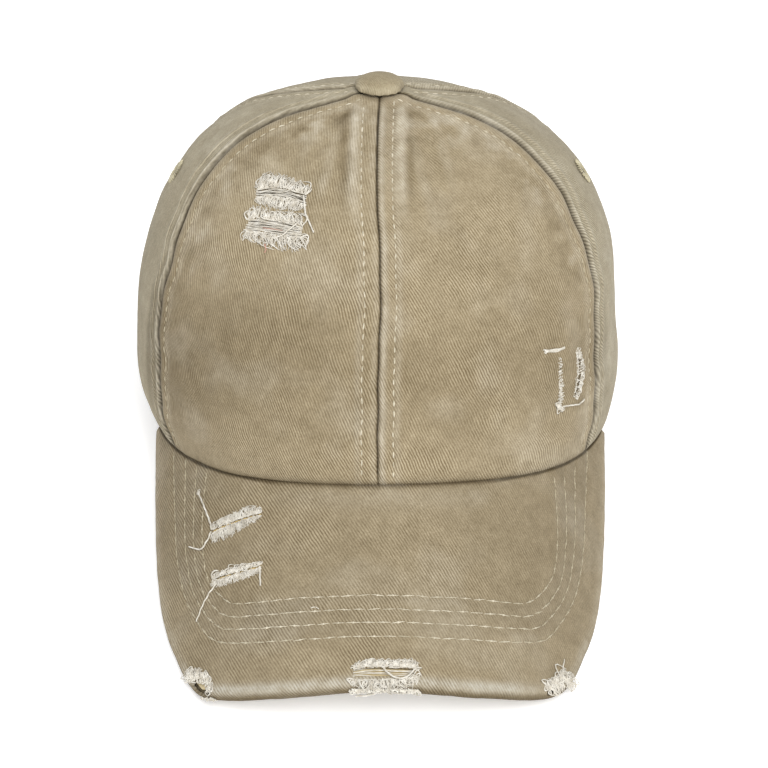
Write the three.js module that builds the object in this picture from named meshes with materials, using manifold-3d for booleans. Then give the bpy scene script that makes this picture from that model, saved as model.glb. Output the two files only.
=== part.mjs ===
// Ponytail baseball cap of washed cotton twill, with six crown panels, a curved peak and an open back.
// Millimetres, +Z up. The front is towards -Y, and left and right are as the cap is seen from its front.
// The shape is worked out in the cap's own frame, whose XY plane is the level of the rim at the back,
// and the whole cap then leans back until it rests on the peak's sides and on the rim at the back.

import * as THREE from 'three';
import { mergeVertices } from 'three/addons/utils/BufferGeometryUtils.js';
import Module from 'manifold-3d';

const wasm = await Module();
wasm.setup();

// Crown
const crownHeight = 119;
const crownHalfWidth = 87;
const crownFrontReach = 94;
const crownBackReach = 100.5;
const panelThickness = 1.4;

// Level sections of the crown, as shares of the sizes above: height of crownHeight, side of crownHalfWidth,
// front of crownFrontReach, back and centre of crownBackReach, and lean (to the right) of crownHalfWidth.
const sections = [
  { height: -0.06, side: 0.935, front: 0.972, back: 0.957, centre: 0, lean: 0 },
  { height: 0.06, side: 0.972, front: 0.995, back: 0.982, centre: 0, lean: 0 },
  { height: 0.18, side: 1, front: 1, back: 1, centre: 0, lean: -0.009 },
  { height: 0.32, side: 0.991, front: 0.969, back: 0.991, centre: 0, lean: -0.016 },
  { height: 0.47, side: 0.969, front: 0.903, back: 0.937, centre: 0, lean: -0.011 },
  { height: 0.62, side: 0.913, front: 0.773, back: 0.831, centre: 0, lean: -0.004 },
  { height: 0.76, side: 0.811, front: 0.6, back: 0.68, centre: 0, lean: -0.005 },
  { height: 0.88, side: 0.647, front: 0.391, back: 0.485, centre: 0, lean: -0.015 },
  { height: 0.96, side: 0.41, front: 0.188, back: 0.288, centre: 0, lean: -0.011 },
  { height: 1, side: 0.069, front: 0.064, back: 0.06, centre: 0.045, lean: -0.003 },
];

// Turns of the seams from the middle of the front, in degrees: the front seam at the rim and at the top.
const frontSeamTurnLow = 57.2;
const frontSeamTurnHigh = 67.3;
const backSeamTurn = 120;

// Height of the rim over the surface that the cap rests on, as shares of crownHeight, from the peak's end
// (the first row) round to the back, for the left and the right side.
const rimLift = [
  { turn: 72, left: 0.188, right: 0.188 },
  { turn: 80, left: 0.205, right: 0.168 },
  { turn: 90, left: 0.218, right: 0.139 },
  { turn: 105, left: 0.21, right: 0.109 },
  { turn: 120, left: 0.16, right: 0.076 },
  { turn: 135, left: 0.08, right: 0.036 },
  { turn: 150, left: 0, right: 0 },
  { turn: 180, left: 0, right: 0 },
];
const rimBlendTurn = 9;

// Peak: it lies on a cylinder that slopes down to the front, and its flat plan is drawn round a centre
// that lies planCentre behind the middle of its seam.
const peakLength = 71;
const peakSlope = 29.8;
const peakRollRadius = 92;
const peakSeamLevel = 20;
const planCentre = 60;
const peakEndTurn = 82;
const peakClothThickness = 1;
const boardThickness = 1.6;
const boardInset = 1.2;
const edgeRounding = 1.6;

// Width of the peak beyond the crown, as a share of peakLength, by its turn in the flat plan.
const peakWidths = [
  { turn: 0, width: 1 },
  { turn: 14, width: 1.043 },
  { turn: 26, width: 1.079 },
  { turn: 36, width: 0.922 },
  { turn: 44, width: 0.764 },
  { turn: 52, width: 0.586 },
  { turn: 60, width: 0.42 },
  { turn: 68, width: 0.27 },
  { turn: 76, width: 0.132 },
  { turn: 82, width: 0.042 },
];

// Sweatband, back opening, binding and strap
const sweatbandHeight = 32;
const sweatbandThickness = 1.5;
const sweatbandRise = 1.5;
const openingHalfWidth = 40;
const openingHeight = 58;
const bindingWidth = 7;
const bindingThickness = 0.8;
const strapHeight = 20;
const strapThickness = 2;
const strapLap = 13;

// Button and eyelets
const buttonRadius = 8.5;
const buttonHeight = 5.2;
const buttonEdge = 1.2;
const eyeletOuterRadius = 4.9;
const eyeletHoleRadius = 2;
const eyeletThickness = 1.3;
const eyeletTurn = 91;
const eyeletShare = 0.755;

// Gaps that are kept between pieces, the wider one where a sewn-in band follows a wall's inside
const clearance = 0.35;
const bandClearance = 0.65;

// Tears, each the outline of the open place in the cloth. On the crown a point is [turn, share of height],
// and on the peak it is [share of planHalfWidth across, share of peakLength along], from the seam's middle.
const planHalfWidth = 100;
const frontLeftTears = [
  [[-39.5, 0.835], [-22.3, 0.852], [-21.8, 0.837], [-38.8, 0.819]],
  [[-40.6, 0.773], [-20.7, 0.797], [-20.2, 0.776], [-39.5, 0.753]],
];
const frontRightTears = [
  [[44.5, 0.436], [46.3, 0.436], [46, 0.28], [44.3, 0.28]],
  [[52.2, 0.414], [53.6, 0.414], [54.9, 0.335], [52.1, 0.272], [50.6, 0.272], [53, 0.335]],
];
const peakTears = [
  [[-0.606, 0.121], [-0.41, 0.101], [-0.404, 0.051], [-0.602, 0.079]],
  [[-0.606, 0.389], [-0.406, 0.352], [-0.402, 0.301], [-0.604, 0.346]],
  [[-0.095, 0.89], [0.12, 0.89], [0.12, 1.06], [-0.095, 1.06]],
  [[-0.705, 0.775], [-0.615, 0.8], [-0.585, 0.89], [-0.6, 1.01], [-0.76, 0.85]],
  [[0.555, 0.87], [0.653, 0.79], [0.705, 0.8], [0.69, 0.93], [0.555, 1.04]],
];
const tearReach = 3;

const panelRows = 17;
const frontPanelColumns = 10;
const sidePanelColumns = 10;
const backPanelColumns = 9;

const radians = THREE.MathUtils.degToRad;

// A smooth curve through a table's rows that never swings past them, level at its start if asked.
function smoothTable(rows, input, output, levelStart = false) {
  const x = rows.map((row) => row[input]);
  const y = rows.map((row) => row[output]);
  const steps = x.slice(1).map((value, i) => value - x[i]);
  const slopes = steps.map((step, i) => (y[i + 1] - y[i]) / step);
  const tangents = x.map((value, i) => {
    if (i === 0) return levelStart ? 0 : slopes[0];
    if (i === x.length - 1) return slopes[i - 1];
    if (slopes[i - 1] * slopes[i] <= 0) return 0;
    const before = 2 * steps[i] + steps[i - 1];
    const after = steps[i] + 2 * steps[i - 1];
    return (before + after) / (before / slopes[i - 1] + after / slopes[i]);
  });
  return (value) => {
    if (value <= x[0]) return y[0] + tangents[0] * (value - x[0]);
    const last = x.length - 1;
    if (value >= x[last]) return y[last];
    const i = x.findIndex((end) => end > value) - 1;
    const t = (value - x[i]) / steps[i];
    const u = 1 - t;
    return y[i] * (1 + 2 * t) * u * u + tangents[i] * steps[i] * t * u * u
      + y[i + 1] * t * t * (3 - 2 * t) - tangents[i + 1] * steps[i] * t * t * u;
  };
}

// The value between low and high at which a rising function reaches a level.
function solveRising(rising, level, low, high) {
  for (let step = 0; step < 40; step += 1) {
    const middle = (low + high) / 2;
    if (rising(middle) < level) low = middle;
    else high = middle;
  }
  return (low + high) / 2;
}

const sideShare = smoothTable(sections, 'height', 'side');
const frontShare = smoothTable(sections, 'height', 'front');
const backShare = smoothTable(sections, 'height', 'back');
const centreShare = smoothTable(sections, 'height', 'centre');
const leanShare = smoothTable(sections, 'height', 'lean');

// A point of the crown's outer surface, by its turn from the front and its share of the height.
function crownSurface(turn, share) {
  const across = Math.sin(radians(turn));
  const forward = Math.cos(radians(turn));
  const reach = forward > 0 ? crownFrontReach * frontShare(share) : crownBackReach * backShare(share);
  return new THREE.Vector3(
    crownHalfWidth * (sideShare(share) * across + leanShare(share)),
    crownBackReach * centreShare(share) - reach * forward,
    crownHeight * share,
  );
}

function crownNormal(turn, share) {
  const turnStep = 0.5;
  const shareStep = 0.002;
  const top = Math.min(share + shareStep, 1);
  const along = crownSurface(turn + turnStep, share).sub(crownSurface(turn - turnStep, share));
  const up = crownSurface(turn, top).sub(crownSurface(turn, top - 2 * shareStep));
  return along.cross(up).normalize();
}

// A point that stands off the crown's outer surface, outwards where offset is above zero.
function crownPoint(turn, share, offset) {
  return crownSurface(turn, share).addScaledVector(crownNormal(turn, share), offset);
}

// The peak's sloping cylinder: across runs round it, along runs down to the front.
const peakForward = new THREE.Vector3(0, -Math.cos(radians(peakSlope)), -Math.sin(radians(peakSlope)));
const peakUp = new THREE.Vector3(0, -Math.sin(radians(peakSlope)), Math.cos(radians(peakSlope)));
const peakSeamMiddle = crownSurface(0, peakSeamLevel / crownHeight);

function peakSurface(across, along, level) {
  const roll = across / peakRollRadius;
  const radius = peakRollRadius + level;
  return peakSeamMiddle.clone()
    .addScaledVector(peakForward, along)
    .addScaledVector(peakUp, radius * Math.cos(roll) - peakRollRadius)
    .add(new THREE.Vector3(radius * Math.sin(roll), 0, 0));
}

// The level of any point over the peak's top surface.
function levelOverPeak(point) {
  const from = point.clone().sub(peakSeamMiddle);
  return Math.hypot(from.x, from.dot(peakUp) + peakRollRadius) - peakRollRadius;
}

// How far out a point lies against the crown's wall at its height: 1 is on the wall.
function crownRatio(point, inset) {
  const share = point.z / crownHeight;
  const width = crownHalfWidth * sideShare(share) - inset;
  const reach = crownFrontReach * frontShare(share) - inset;
  return Math.hypot((point.x - crownHalfWidth * leanShare(share)) / width, point.y / reach);
}

function planPoint(turn, radius, level) {
  return peakSurface(radius * Math.sin(radians(turn)), radius * Math.cos(radians(turn)) - planCentre, level);
}

// The radius in the flat plan at which the peak meets the crown's wall, or a line inset from it.
function seamRadius(turn, inset, level) {
  return solveRising((radius) => crownRatio(planPoint(turn, radius, level), inset), 1, 20, 140);
}

const peakWidth = smoothTable(peakWidths, 'turn', 'width', true);

function edgeRadius(turn) {
  return seamRadius(turn, 0, 0) + peakLength * peakWidth(Math.abs(turn));
}

const peakThickness = 2 * peakClothThickness + boardThickness + 2 * clearance;

// The surface that the cap rests on slopes from the rim at the back down to the peak's lowest edge.
const restStart = crownSurface(180, 0);
let restSlope = 0;
for (let turn = -peakEndTurn; turn <= peakEndTurn; turn += 1) {
  const low = planPoint(turn, edgeRadius(turn), -peakThickness);
  restSlope = Math.max(restSlope, (restStart.z - low.z) / (restStart.y - low.y));
}

function restLevel(y) {
  return restStart.z - (restStart.y - y) * restSlope;
}

const liftLeft = smoothTable(rimLift, 'turn', 'left');
const liftRight = smoothTable(rimLift, 'turn', 'right');

// The share of height at which a wall that stands off the crown meets a level over the peak.
function shareOverPeak(turn, offset, level) {
  return solveRising((share) => levelOverPeak(crownPoint(turn, share, offset)), level, -0.12, 0.4);
}

// The share of height of the free rim, which follows the table of lifts over the resting surface.
function shareOfRim(turn, offset) {
  const fromFront = turn > 180 ? 360 - turn : Math.abs(turn);
  const lift = turn > 0 && turn <= 180 ? liftRight(fromFront) : liftLeft(fromFront);
  const height = (share) => {
    const point = crownPoint(turn, share, offset);
    return point.z - restLevel(point.y);
  };
  return solveRising(height, lift * crownHeight, -0.3, 0.4);
}

const seamEnd = planPoint(peakEndTurn, seamRadius(peakEndTurn, 0, 0), 0);
const peakEndTurnOnCrown = THREE.MathUtils.radToDeg(
  Math.asin(seamEnd.x / (crownHalfWidth * sideShare(seamEnd.z / crownHeight))),
);

// Over the peak an edge follows the peak, and from a turn near the peak's ends it blends into the free rim.
function blendRim(turn, blendStart, overPeak, free) {
  const past = (Math.abs(turn) - blendStart) / rimBlendTurn;
  const blend = THREE.MathUtils.smoothstep(past, 0, 1);
  if (blend === 0) return overPeak();
  if (blend === 1) return free();
  return THREE.MathUtils.lerp(overPeak(), free(), blend);
}

function rimShare(turn, offset) {
  return blendRim(
    turn,
    peakEndTurnOnCrown,
    () => shareOverPeak(turn, offset, clearance),
    () => shareOfRim(turn, offset),
  );
}

// A closed wall between two grids of points that have the same rows and columns.
function wallBetween(outer, inner) {
  const columns = outer.length;
  const rows = outer[0].length;
  const points = [...outer.flat(), ...inner.flat()];
  const innerStart = columns * rows;
  const index = (side, column, row) => side * innerStart + column * rows + row;
  const faces = [];
  const quad = (a, b, c, d) => faces.push(a, b, c, a, c, d);
  for (let i = 0; i < columns - 1; i += 1) {
    for (let j = 0; j < rows - 1; j += 1) {
      quad(index(0, i, j), index(0, i + 1, j), index(0, i + 1, j + 1), index(0, i, j + 1));
      quad(index(1, i, j), index(1, i, j + 1), index(1, i + 1, j + 1), index(1, i + 1, j));
    }
    const top = rows - 1;
    quad(index(1, i, 0), index(1, i + 1, 0), index(0, i + 1, 0), index(0, i, 0));
    quad(index(0, i, top), index(0, i + 1, top), index(1, i + 1, top), index(1, i, top));
  }
  for (let j = 0; j < rows - 1; j += 1) {
    const end = columns - 1;
    quad(index(0, 0, j), index(0, 0, j + 1), index(1, 0, j + 1), index(1, 0, j));
    quad(index(1, end, j), index(1, end, j + 1), index(0, end, j + 1), index(0, end, j));
  }
  return closedGeometry(points, faces);
}

// A geometry whose faces point outwards, from points and triangles that close on themselves.
function closedGeometry(points, faces) {
  let volume = 0;
  for (let i = 0; i < faces.length; i += 3) {
    const [a, b, c] = [points[faces[i]], points[faces[i + 1]], points[faces[i + 2]]];
    volume += a.dot(b.clone().cross(c));
  }
  const outward = volume > 0 ? faces : faces.slice().reverse();
  const geometry = new THREE.BufferGeometry();
  const flat = points.flatMap((point) => point.toArray());
  geometry.setAttribute('position', new THREE.Float32BufferAttribute(flat, 3));
  geometry.setIndex(outward);
  return geometry;
}

function grid(columns, rows, pointAt) {
  const line = (i) => Array.from({ length: rows + 1 }, (unused, j) => pointAt(i / columns, j / rows));
  return Array.from({ length: columns + 1 }, (unused, i) => line(i));
}

// Boolean joins and cuts
function toSolid(geometry) {
  const bare = geometry.clone();
  bare.deleteAttribute('normal');
  bare.deleteAttribute('uv');
  const merged = mergeVertices(bare);
  return new wasm.Manifold(new wasm.Mesh({
    numProp: 3,
    vertProperties: Float32Array.from(merged.attributes.position.array),
    triVerts: Uint32Array.from(merged.index.array),
  }));
}

function toGeometry(solid) {
  const mesh = solid.getMesh();
  const geometry = new THREE.BufferGeometry();
  geometry.setAttribute('position', new THREE.Float32BufferAttribute(mesh.vertProperties, 3));
  geometry.setIndex(Array.from(mesh.triVerts));
  return geometry;
}

function cutAway(geometry, cutters) {
  let solid = toSolid(geometry);
  for (const cutter of cutters) solid = solid.subtract(toSolid(cutter));
  return toGeometry(solid);
}

// A prism that stands through a curved surface on an outline, from a low to a high level.
function prismThrough(outline, surface, low, high) {
  const count = outline.length;
  const points = [...outline.map((p) => surface(p, high)), ...outline.map((p) => surface(p, low))];
  const caps = THREE.ShapeUtils.triangulateShape(outline.map(([x, y]) => new THREE.Vector2(x, y)), []);
  const faces = caps.flatMap(([a, b, c]) => [a, b, c, count + c, count + b, count + a]);
  const turning = THREE.ShapeUtils.area(outline.map(([x, y]) => new THREE.Vector2(x, y))) > 0;
  for (let i = 0; i < count; i += 1) {
    const next = (i + 1) % count;
    const side = [next, i, count + i, next, count + i, count + next];
    faces.push(...(turning ? side : side.slice().reverse()));
  }
  return closedGeometry(points, faces);
}

function crownTearCutters(tears) {
  const surface = ([turn, share], level) => crownPoint(turn, share, level);
  return tears.map((outline) => prismThrough(outline, surface, -panelThickness - tearReach, tearReach));
}

function peakTearCutters() {
  const surface = ([across, along], level) => peakSurface(across * planHalfWidth, along * peakLength, level);
  const low = -peakClothThickness - clearance / 2;
  return peakTears.map((outline) => prismThrough(outline, surface, low, tearReach));
}

// Crown panels: each is a curved sheet between two seams, from the rim to the ring under the button.
function seamTurn(share, low, high) {
  return THREE.MathUtils.lerp(low, high, THREE.MathUtils.clamp(share, 0, 1));
}

function crownPanel(columns, edgeA, edgeB) {
  const point = (offset) => (i, j) => {
    const crowding = 1.5;
    const rough = THREE.MathUtils.lerp(seamTurn(0, ...edgeA), seamTurn(0, ...edgeB), i);
    const rim = rimShare(rough, offset);
    const share = 1 - (1 - rim) * (1 - j) ** crowding;
    const start = seamTurn(share, ...edgeA);
    const end = seamTurn(share, ...edgeB);
    const atMiddle = crownSurface((start + end) / 2, share);
    const centre = new THREE.Vector3(0, crownBackReach * centreShare(share), atMiddle.z);
    const gap = THREE.MathUtils.radToDeg(clearance / 2 / atMiddle.distanceTo(centre));
    return crownPoint(THREE.MathUtils.lerp(start + gap, end - gap, i), share, offset);
  };
  const outer = grid(columns, panelRows, point(0));
  const inner = grid(columns, panelRows, point(-panelThickness));
  return wallBetween(outer, inner);
}

function frontPanel(side, tears) {
  const frontSeam = [side * frontSeamTurnLow, side * frontSeamTurnHigh];
  const edges = side > 0 ? [[0, 0], frontSeam] : [frontSeam, [0, 0]];
  return cutAway(crownPanel(frontPanelColumns, ...edges), crownTearCutters(tears));
}

function sidePanel(side) {
  const frontSeam = [side * frontSeamTurnLow, side * frontSeamTurnHigh];
  const backSeam = [side * backSeamTurn, side * backSeamTurn];
  const edges = side > 0 ? [frontSeam, backSeam] : [backSeam, frontSeam];
  return cutAway(crownPanel(sidePanelColumns, ...edges), [eyeletCutter(side)]);
}

function backPanel(side) {
  const backSeam = [side * backSeamTurn, side * backSeamTurn];
  const middle = [side * 180, side * 180];
  const edges = side > 0 ? [backSeam, middle] : [middle, backSeam];
  return cutAway(crownPanel(backPanelColumns, ...edges), [openingCutter()]);
}

// Back opening: an arch over the strap, cut straight through from behind.
function openingCutter() {
  const shape = new THREE.Shape();
  const below = -openingHeight;
  shape.moveTo(-openingHalfWidth, below);
  shape.lineTo(openingHalfWidth, below);
  shape.lineTo(openingHalfWidth, 0);
  shape.absellipse(0, 0, openingHalfWidth, openingHeight, 0, Math.PI, false);
  shape.lineTo(-openingHalfWidth, below);
  const cutter = new THREE.ExtrudeGeometry(shape, {
    depth: crownBackReach,
    bevelEnabled: false,
    curveSegments: 24,
  });
  // The shape is drawn in X and Z, and its depth then runs backwards, along +Y.
  cutter.applyMatrix4(new THREE.Matrix4().makeBasis(
    new THREE.Vector3(1, 0, 0),
    new THREE.Vector3(0, 0, 1),
    new THREE.Vector3(0, 1, 0),
  ));
  cutter.translate(0, crownBackReach * 0.3, 0);
  return closedGeometry(...pointsAndFaces(cutter));
}

function pointsAndFaces(geometry) {
  const bare = geometry.clone();
  bare.deleteAttribute('normal');
  bare.deleteAttribute('uv');
  const merged = mergeVertices(bare);
  const position = merged.attributes.position;
  const points = Array.from({ length: position.count }, (unused, i) => (
    new THREE.Vector3().fromBufferAttribute(position, i)
  ));
  return [points, Array.from(merged.index.array)];
}

// A point beside the edge of the back opening: beside is measured in the cloth, away from the hole.
function besideOpening(angle, beside, offset) {
  const normal = new THREE.Vector2(
    Math.cos(angle) / openingHalfWidth,
    Math.sin(angle) / openingHeight,
  ).normalize();
  const x = openingHalfWidth * Math.cos(angle) + normal.x * beside;
  const share = (openingHeight * Math.sin(angle) + normal.y * beside) / crownHeight;
  const across = (x / crownHalfWidth - leanShare(share)) / sideShare(share);
  const turn = 180 - THREE.MathUtils.radToDeg(Math.asin(across));
  return crownPoint(turn, share, offset);
}

// Binding: a folded tape that wraps the edge of the opening, outside, over the edge and inside.
function openingBinding() {
  const columns = 32;
  const startAngle = 0.05;
  const outside = clearance;
  const inside = -panelThickness - bandClearance;
  const near = [
    [bindingWidth, outside],
    [-clearance, outside],
    [-clearance, inside],
    [bindingWidth, inside],
  ];
  const edge = -clearance - bindingThickness;
  const far = [
    [bindingWidth, outside + bindingThickness],
    [edge, outside + bindingThickness],
    [edge, inside - bindingThickness],
    [bindingWidth, inside - bindingThickness],
  ];
  const line = (profile) => Array.from({ length: columns + 1 }, (unused, i) => {
    const angle = THREE.MathUtils.lerp(startAngle, Math.PI - startAngle, i / columns);
    return profile.map(([beside, offset]) => besideOpening(angle, beside, offset));
  });
  return wallBetween(line(far), line(near));
}

// Strap: a band across the foot of the opening, outside the binding, with its lower edge on the rim's line.
function closureStrap() {
  const halfTurn = THREE.MathUtils.radToDeg(
    Math.asin((openingHalfWidth + strapLap) / (crownHalfWidth * sideShare(0))),
  );
  const near = 2 * clearance + bindingThickness;
  const point = (offset) => (i, j) => {
    const turn = THREE.MathUtils.lerp(180 - halfTurn, 180 + halfTurn, i);
    const low = shareOfRim(turn, offset);
    return crownPoint(turn, low + j * strapHeight / crownHeight, offset);
  };
  return wallBetween(grid(18, 3, point(near + strapThickness)), grid(18, 3, point(near)));
}

// Sweatband: a band inside the rim that ends beside the binding at the back.
function sweatband() {
  const far = -panelThickness - bandClearance;
  const stop = openingHalfWidth + bindingWidth + 2 * clearance;
  const endTurn = 180 - THREE.MathUtils.radToDeg(Math.asin(stop / (crownHalfWidth * sideShare(0) + far)));
  const point = (offset) => (i, j) => {
    const turn = THREE.MathUtils.lerp(-endTurn, endTurn, i);
    const low = blendRim(
      turn,
      peakEndTurnOnCrown - rimBlendTurn,
      () => shareOverPeak(turn, offset, -peakThickness),
      () => shareOfRim(turn, offset) + sweatbandRise / crownHeight,
    );
    return crownPoint(turn, low + j * sweatbandHeight / crownHeight, offset);
  };
  return wallBetween(grid(44, 4, point(far)), grid(44, 4, point(far - sweatbandThickness)));
}

// Peak layers: each runs from under the rim of the crown to near the edge.
function peakColumns(profileAt) {
  const columns = 36;
  return Array.from({ length: columns + 1 }, (unused, i) => (
    profileAt(THREE.MathUtils.lerp(-peakEndTurn, peakEndTurn, i / columns))
  ));
}

function peakLayer(high, low, edgeInset) {
  const rows = 6;
  const surface = (level) => peakColumns((turn) => {
    const start = seamRadius(turn, panelThickness, level);
    const end = edgeRadius(turn) - edgeInset;
    return Array.from({ length: rows + 1 }, (unused, j) => (
      planPoint(turn, THREE.MathUtils.lerp(start, end, j / rows), level)
    ));
  });
  return wallBetween(surface(high), surface(low));
}

// The top cloth is also folded down over the edge, as far as the under cloth's lower face.
function peakTopCloth() {
  const rows = 6;
  const surface = (depth) => peakColumns((turn) => {
    const start = seamRadius(turn, panelThickness, -depth);
    const edge = edgeRadius(turn);
    const flatEnd = edge - edgeRounding;
    const corner = (edgeRounding - depth) * Math.SQRT1_2;
    const line = Array.from({ length: rows + 1 }, (unused, j) => (
      planPoint(turn, THREE.MathUtils.lerp(start, flatEnd, j / rows), -depth)
    ));
    line.push(planPoint(turn, flatEnd + corner, -edgeRounding + corner));
    line.push(planPoint(turn, edge - depth, -edgeRounding));
    line.push(planPoint(turn, edge - depth, -peakThickness));
    return line;
  });
  return cutAway(wallBetween(surface(0), surface(peakClothThickness)), peakTearCutters());
}

function peakBoard() {
  const high = -peakClothThickness - clearance;
  return peakLayer(high, high - boardThickness, peakClothThickness + boardInset);
}

function peakUnderCloth() {
  const high = -peakThickness + peakClothThickness;
  return peakLayer(high, -peakThickness, peakClothThickness + clearance);
}

// Button: a low covered dome over the point where the panels meet.
function topButton() {
  const arc = 5;
  const profile = [new THREE.Vector2(0, 0), new THREE.Vector2(buttonRadius - buttonEdge / 2, 0)];
  for (let i = 0; i <= arc; i += 1) {
    const angle = i / arc * Math.PI / 2;
    const rise = buttonEdge + (buttonHeight - buttonEdge) * Math.sin(angle);
    profile.push(new THREE.Vector2(i === arc ? 0 : buttonRadius * Math.cos(angle), rise));
  }
  const button = new THREE.LatheGeometry(profile, 20);
  button.rotateX(Math.PI / 2);
  const [points, faces] = pointsAndFaces(button);
  const top = crownSurface(180, 1).add(crownSurface(0, 1)).multiplyScalar(0.5);
  const geometry = closedGeometry(points, faces);
  geometry.translate(top.x, top.y, top.z + clearance);
  return geometry;
}

// Eyelets: a ring of thread round a hole in each side panel.
function placeOnCrown(geometry, side) {
  const turn = side * eyeletTurn;
  const turned = new THREE.Quaternion().setFromUnitVectors(
    new THREE.Vector3(0, 1, 0),
    crownNormal(turn, eyeletShare),
  );
  geometry.applyQuaternion(turned);
  const place = crownSurface(turn, eyeletShare);
  geometry.translate(place.x, place.y, place.z);
  return geometry;
}

function eyeletCutter(side) {
  const depth = 2 * (panelThickness + tearReach);
  return placeOnCrown(new THREE.CylinderGeometry(eyeletHoleRadius, eyeletHoleRadius, depth, 12), side);
}

function eyelet(side) {
  const middle = (eyeletOuterRadius + eyeletHoleRadius) / 2;
  const profile = [
    new THREE.Vector2(eyeletHoleRadius, clearance),
    new THREE.Vector2(eyeletOuterRadius, clearance),
    new THREE.Vector2(eyeletOuterRadius - eyeletThickness / 4, clearance + eyeletThickness * 0.6),
    new THREE.Vector2(middle, clearance + eyeletThickness),
    new THREE.Vector2(eyeletHoleRadius + eyeletThickness / 4, clearance + eyeletThickness * 0.6),
    new THREE.Vector2(eyeletHoleRadius, clearance),
  ];
  const ring = new THREE.LatheGeometry(profile, 16);
  const geometry = closedGeometry(...pointsAndFaces(ring));
  return placeOnCrown(geometry, side);
}

// The pieces, with their materials
const twillFront = { color: 0xa99b80, roughness: 0.95 };
const twillSide = { color: 0xa7a08f, roughness: 0.95 };
const twillInside = { color: 0x9a8f78, roughness: 0.95 };
const thread = { color: 0xcfc3a0, roughness: 0.8 };
const board = { color: 0xe6d7b4, roughness: 0.9 };

function piece(name, geometry, finish) {
  const mesh = new THREE.Mesh(geometry, new THREE.MeshStandardMaterial({ ...finish, metalness: 0 }));
  mesh.name = name;
  return mesh;
}

const cap = new THREE.Group();
cap.add(
  piece('panel_front_left', frontPanel(-1, frontLeftTears), twillFront),
  piece('panel_front_right', frontPanel(1, frontRightTears), twillFront),
  piece('panel_side_left', sidePanel(-1), twillSide),
  piece('panel_side_right', sidePanel(1), twillSide),
  piece('panel_back_left', backPanel(-1), twillSide),
  piece('panel_back_right', backPanel(1), twillSide),
  piece('button', topButton(), twillFront),
  piece('eyelet_left', eyelet(-1), thread),
  piece('eyelet_right', eyelet(1), thread),
  piece('peak_cloth_top', peakTopCloth(), twillFront),
  piece('peak_board', peakBoard(), board),
  piece('peak_cloth_under', peakUnderCloth(), twillFront),
  piece('sweatband', sweatband(), twillInside),
  piece('opening_binding', openingBinding(), twillSide),
  piece('closure_strap', closureStrap(), twillSide),
);

// The cap leans back onto its resting surface, and its box is centred over the origin.
cap.rotation.x = -Math.atan(restSlope);
cap.updateMatrixWorld(true);
const box = new THREE.Box3().setFromObject(cap, true);
cap.position.set(-(box.min.x + box.max.x) / 2, -(box.min.y + box.max.y) / 2, -box.min.z);

const model = new THREE.Group();
model.add(cap);

export default model;
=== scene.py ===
import math
import random

import bmesh
import bpy
import numpy as np
from mathutils import Matrix, Vector, noise
from mathutils.bvhtree import BVHTree


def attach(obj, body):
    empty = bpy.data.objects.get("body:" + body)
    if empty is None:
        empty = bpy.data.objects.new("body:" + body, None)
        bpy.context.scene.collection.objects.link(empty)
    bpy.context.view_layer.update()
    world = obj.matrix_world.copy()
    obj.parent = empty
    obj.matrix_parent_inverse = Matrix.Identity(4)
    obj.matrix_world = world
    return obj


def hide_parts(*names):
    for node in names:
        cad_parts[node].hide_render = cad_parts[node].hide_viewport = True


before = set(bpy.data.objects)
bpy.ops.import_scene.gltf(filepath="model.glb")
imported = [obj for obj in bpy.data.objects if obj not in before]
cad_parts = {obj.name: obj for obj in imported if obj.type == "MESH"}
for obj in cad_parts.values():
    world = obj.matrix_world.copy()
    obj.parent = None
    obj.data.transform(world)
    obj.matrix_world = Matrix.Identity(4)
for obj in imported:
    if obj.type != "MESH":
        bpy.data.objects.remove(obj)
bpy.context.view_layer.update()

bpy.ops.object.select_all(action="DESELECT")

# Crown panels: six pieces of washed cotton twill, cut as tall gores and sewn edge to edge. Each edge is
# turned in and topstitched down, so it stands up over its allowance and rolls into the seam.
# The crown is drawn in the cap's own frame, in millimetres, by its turn from the front and its share of
# height.
MM = 0.001
CROWN_HEIGHT = 119
CROWN_HALF_WIDTH = 87
CROWN_FRONT_REACH = 94
CROWN_BACK_REACH = 100.5
PANEL_THICKNESS = 1.3
LEAN_BACK = math.radians(-8.6306)
CAP_PLACE = np.array([0.86737, 24.78202, 14.62906])

# Level sections: height, side, front, back, centre and lean, each a share of the size that it follows.
SECTIONS = np.array([
    [-0.06, 0.935, 0.972, 0.957, 0, 0],
    [0.06, 0.972, 0.995, 0.982, 0, 0],
    [0.18, 1, 1, 1, 0, -0.009],
    [0.32, 0.991, 0.969, 0.991, 0, -0.016],
    [0.47, 0.969, 0.903, 0.937, 0, -0.011],
    [0.62, 0.913, 0.773, 0.831, 0, -0.004],
    [0.76, 0.811, 0.6, 0.68, 0, -0.005],
    [0.88, 0.647, 0.391, 0.485, 0, -0.015],
    [0.96, 0.41, 0.188, 0.288, 0, -0.011],
    [1, 0.069, 0.064, 0.06, 0.045, -0.003],
])
# Height of the free rim over the floor by turn: the left side's share and the right side's.
RIM_LIFT = np.array([
    [72, 0.188, 0.188],
    [80, 0.205, 0.168],
    [90, 0.218, 0.139],
    [105, 0.21, 0.109],
    [120, 0.16, 0.076],
    [135, 0.08, 0.036],
    [150, 0, 0],
    [180, 0, 0],
])
RIM_BLEND_TURN = 9


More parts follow.
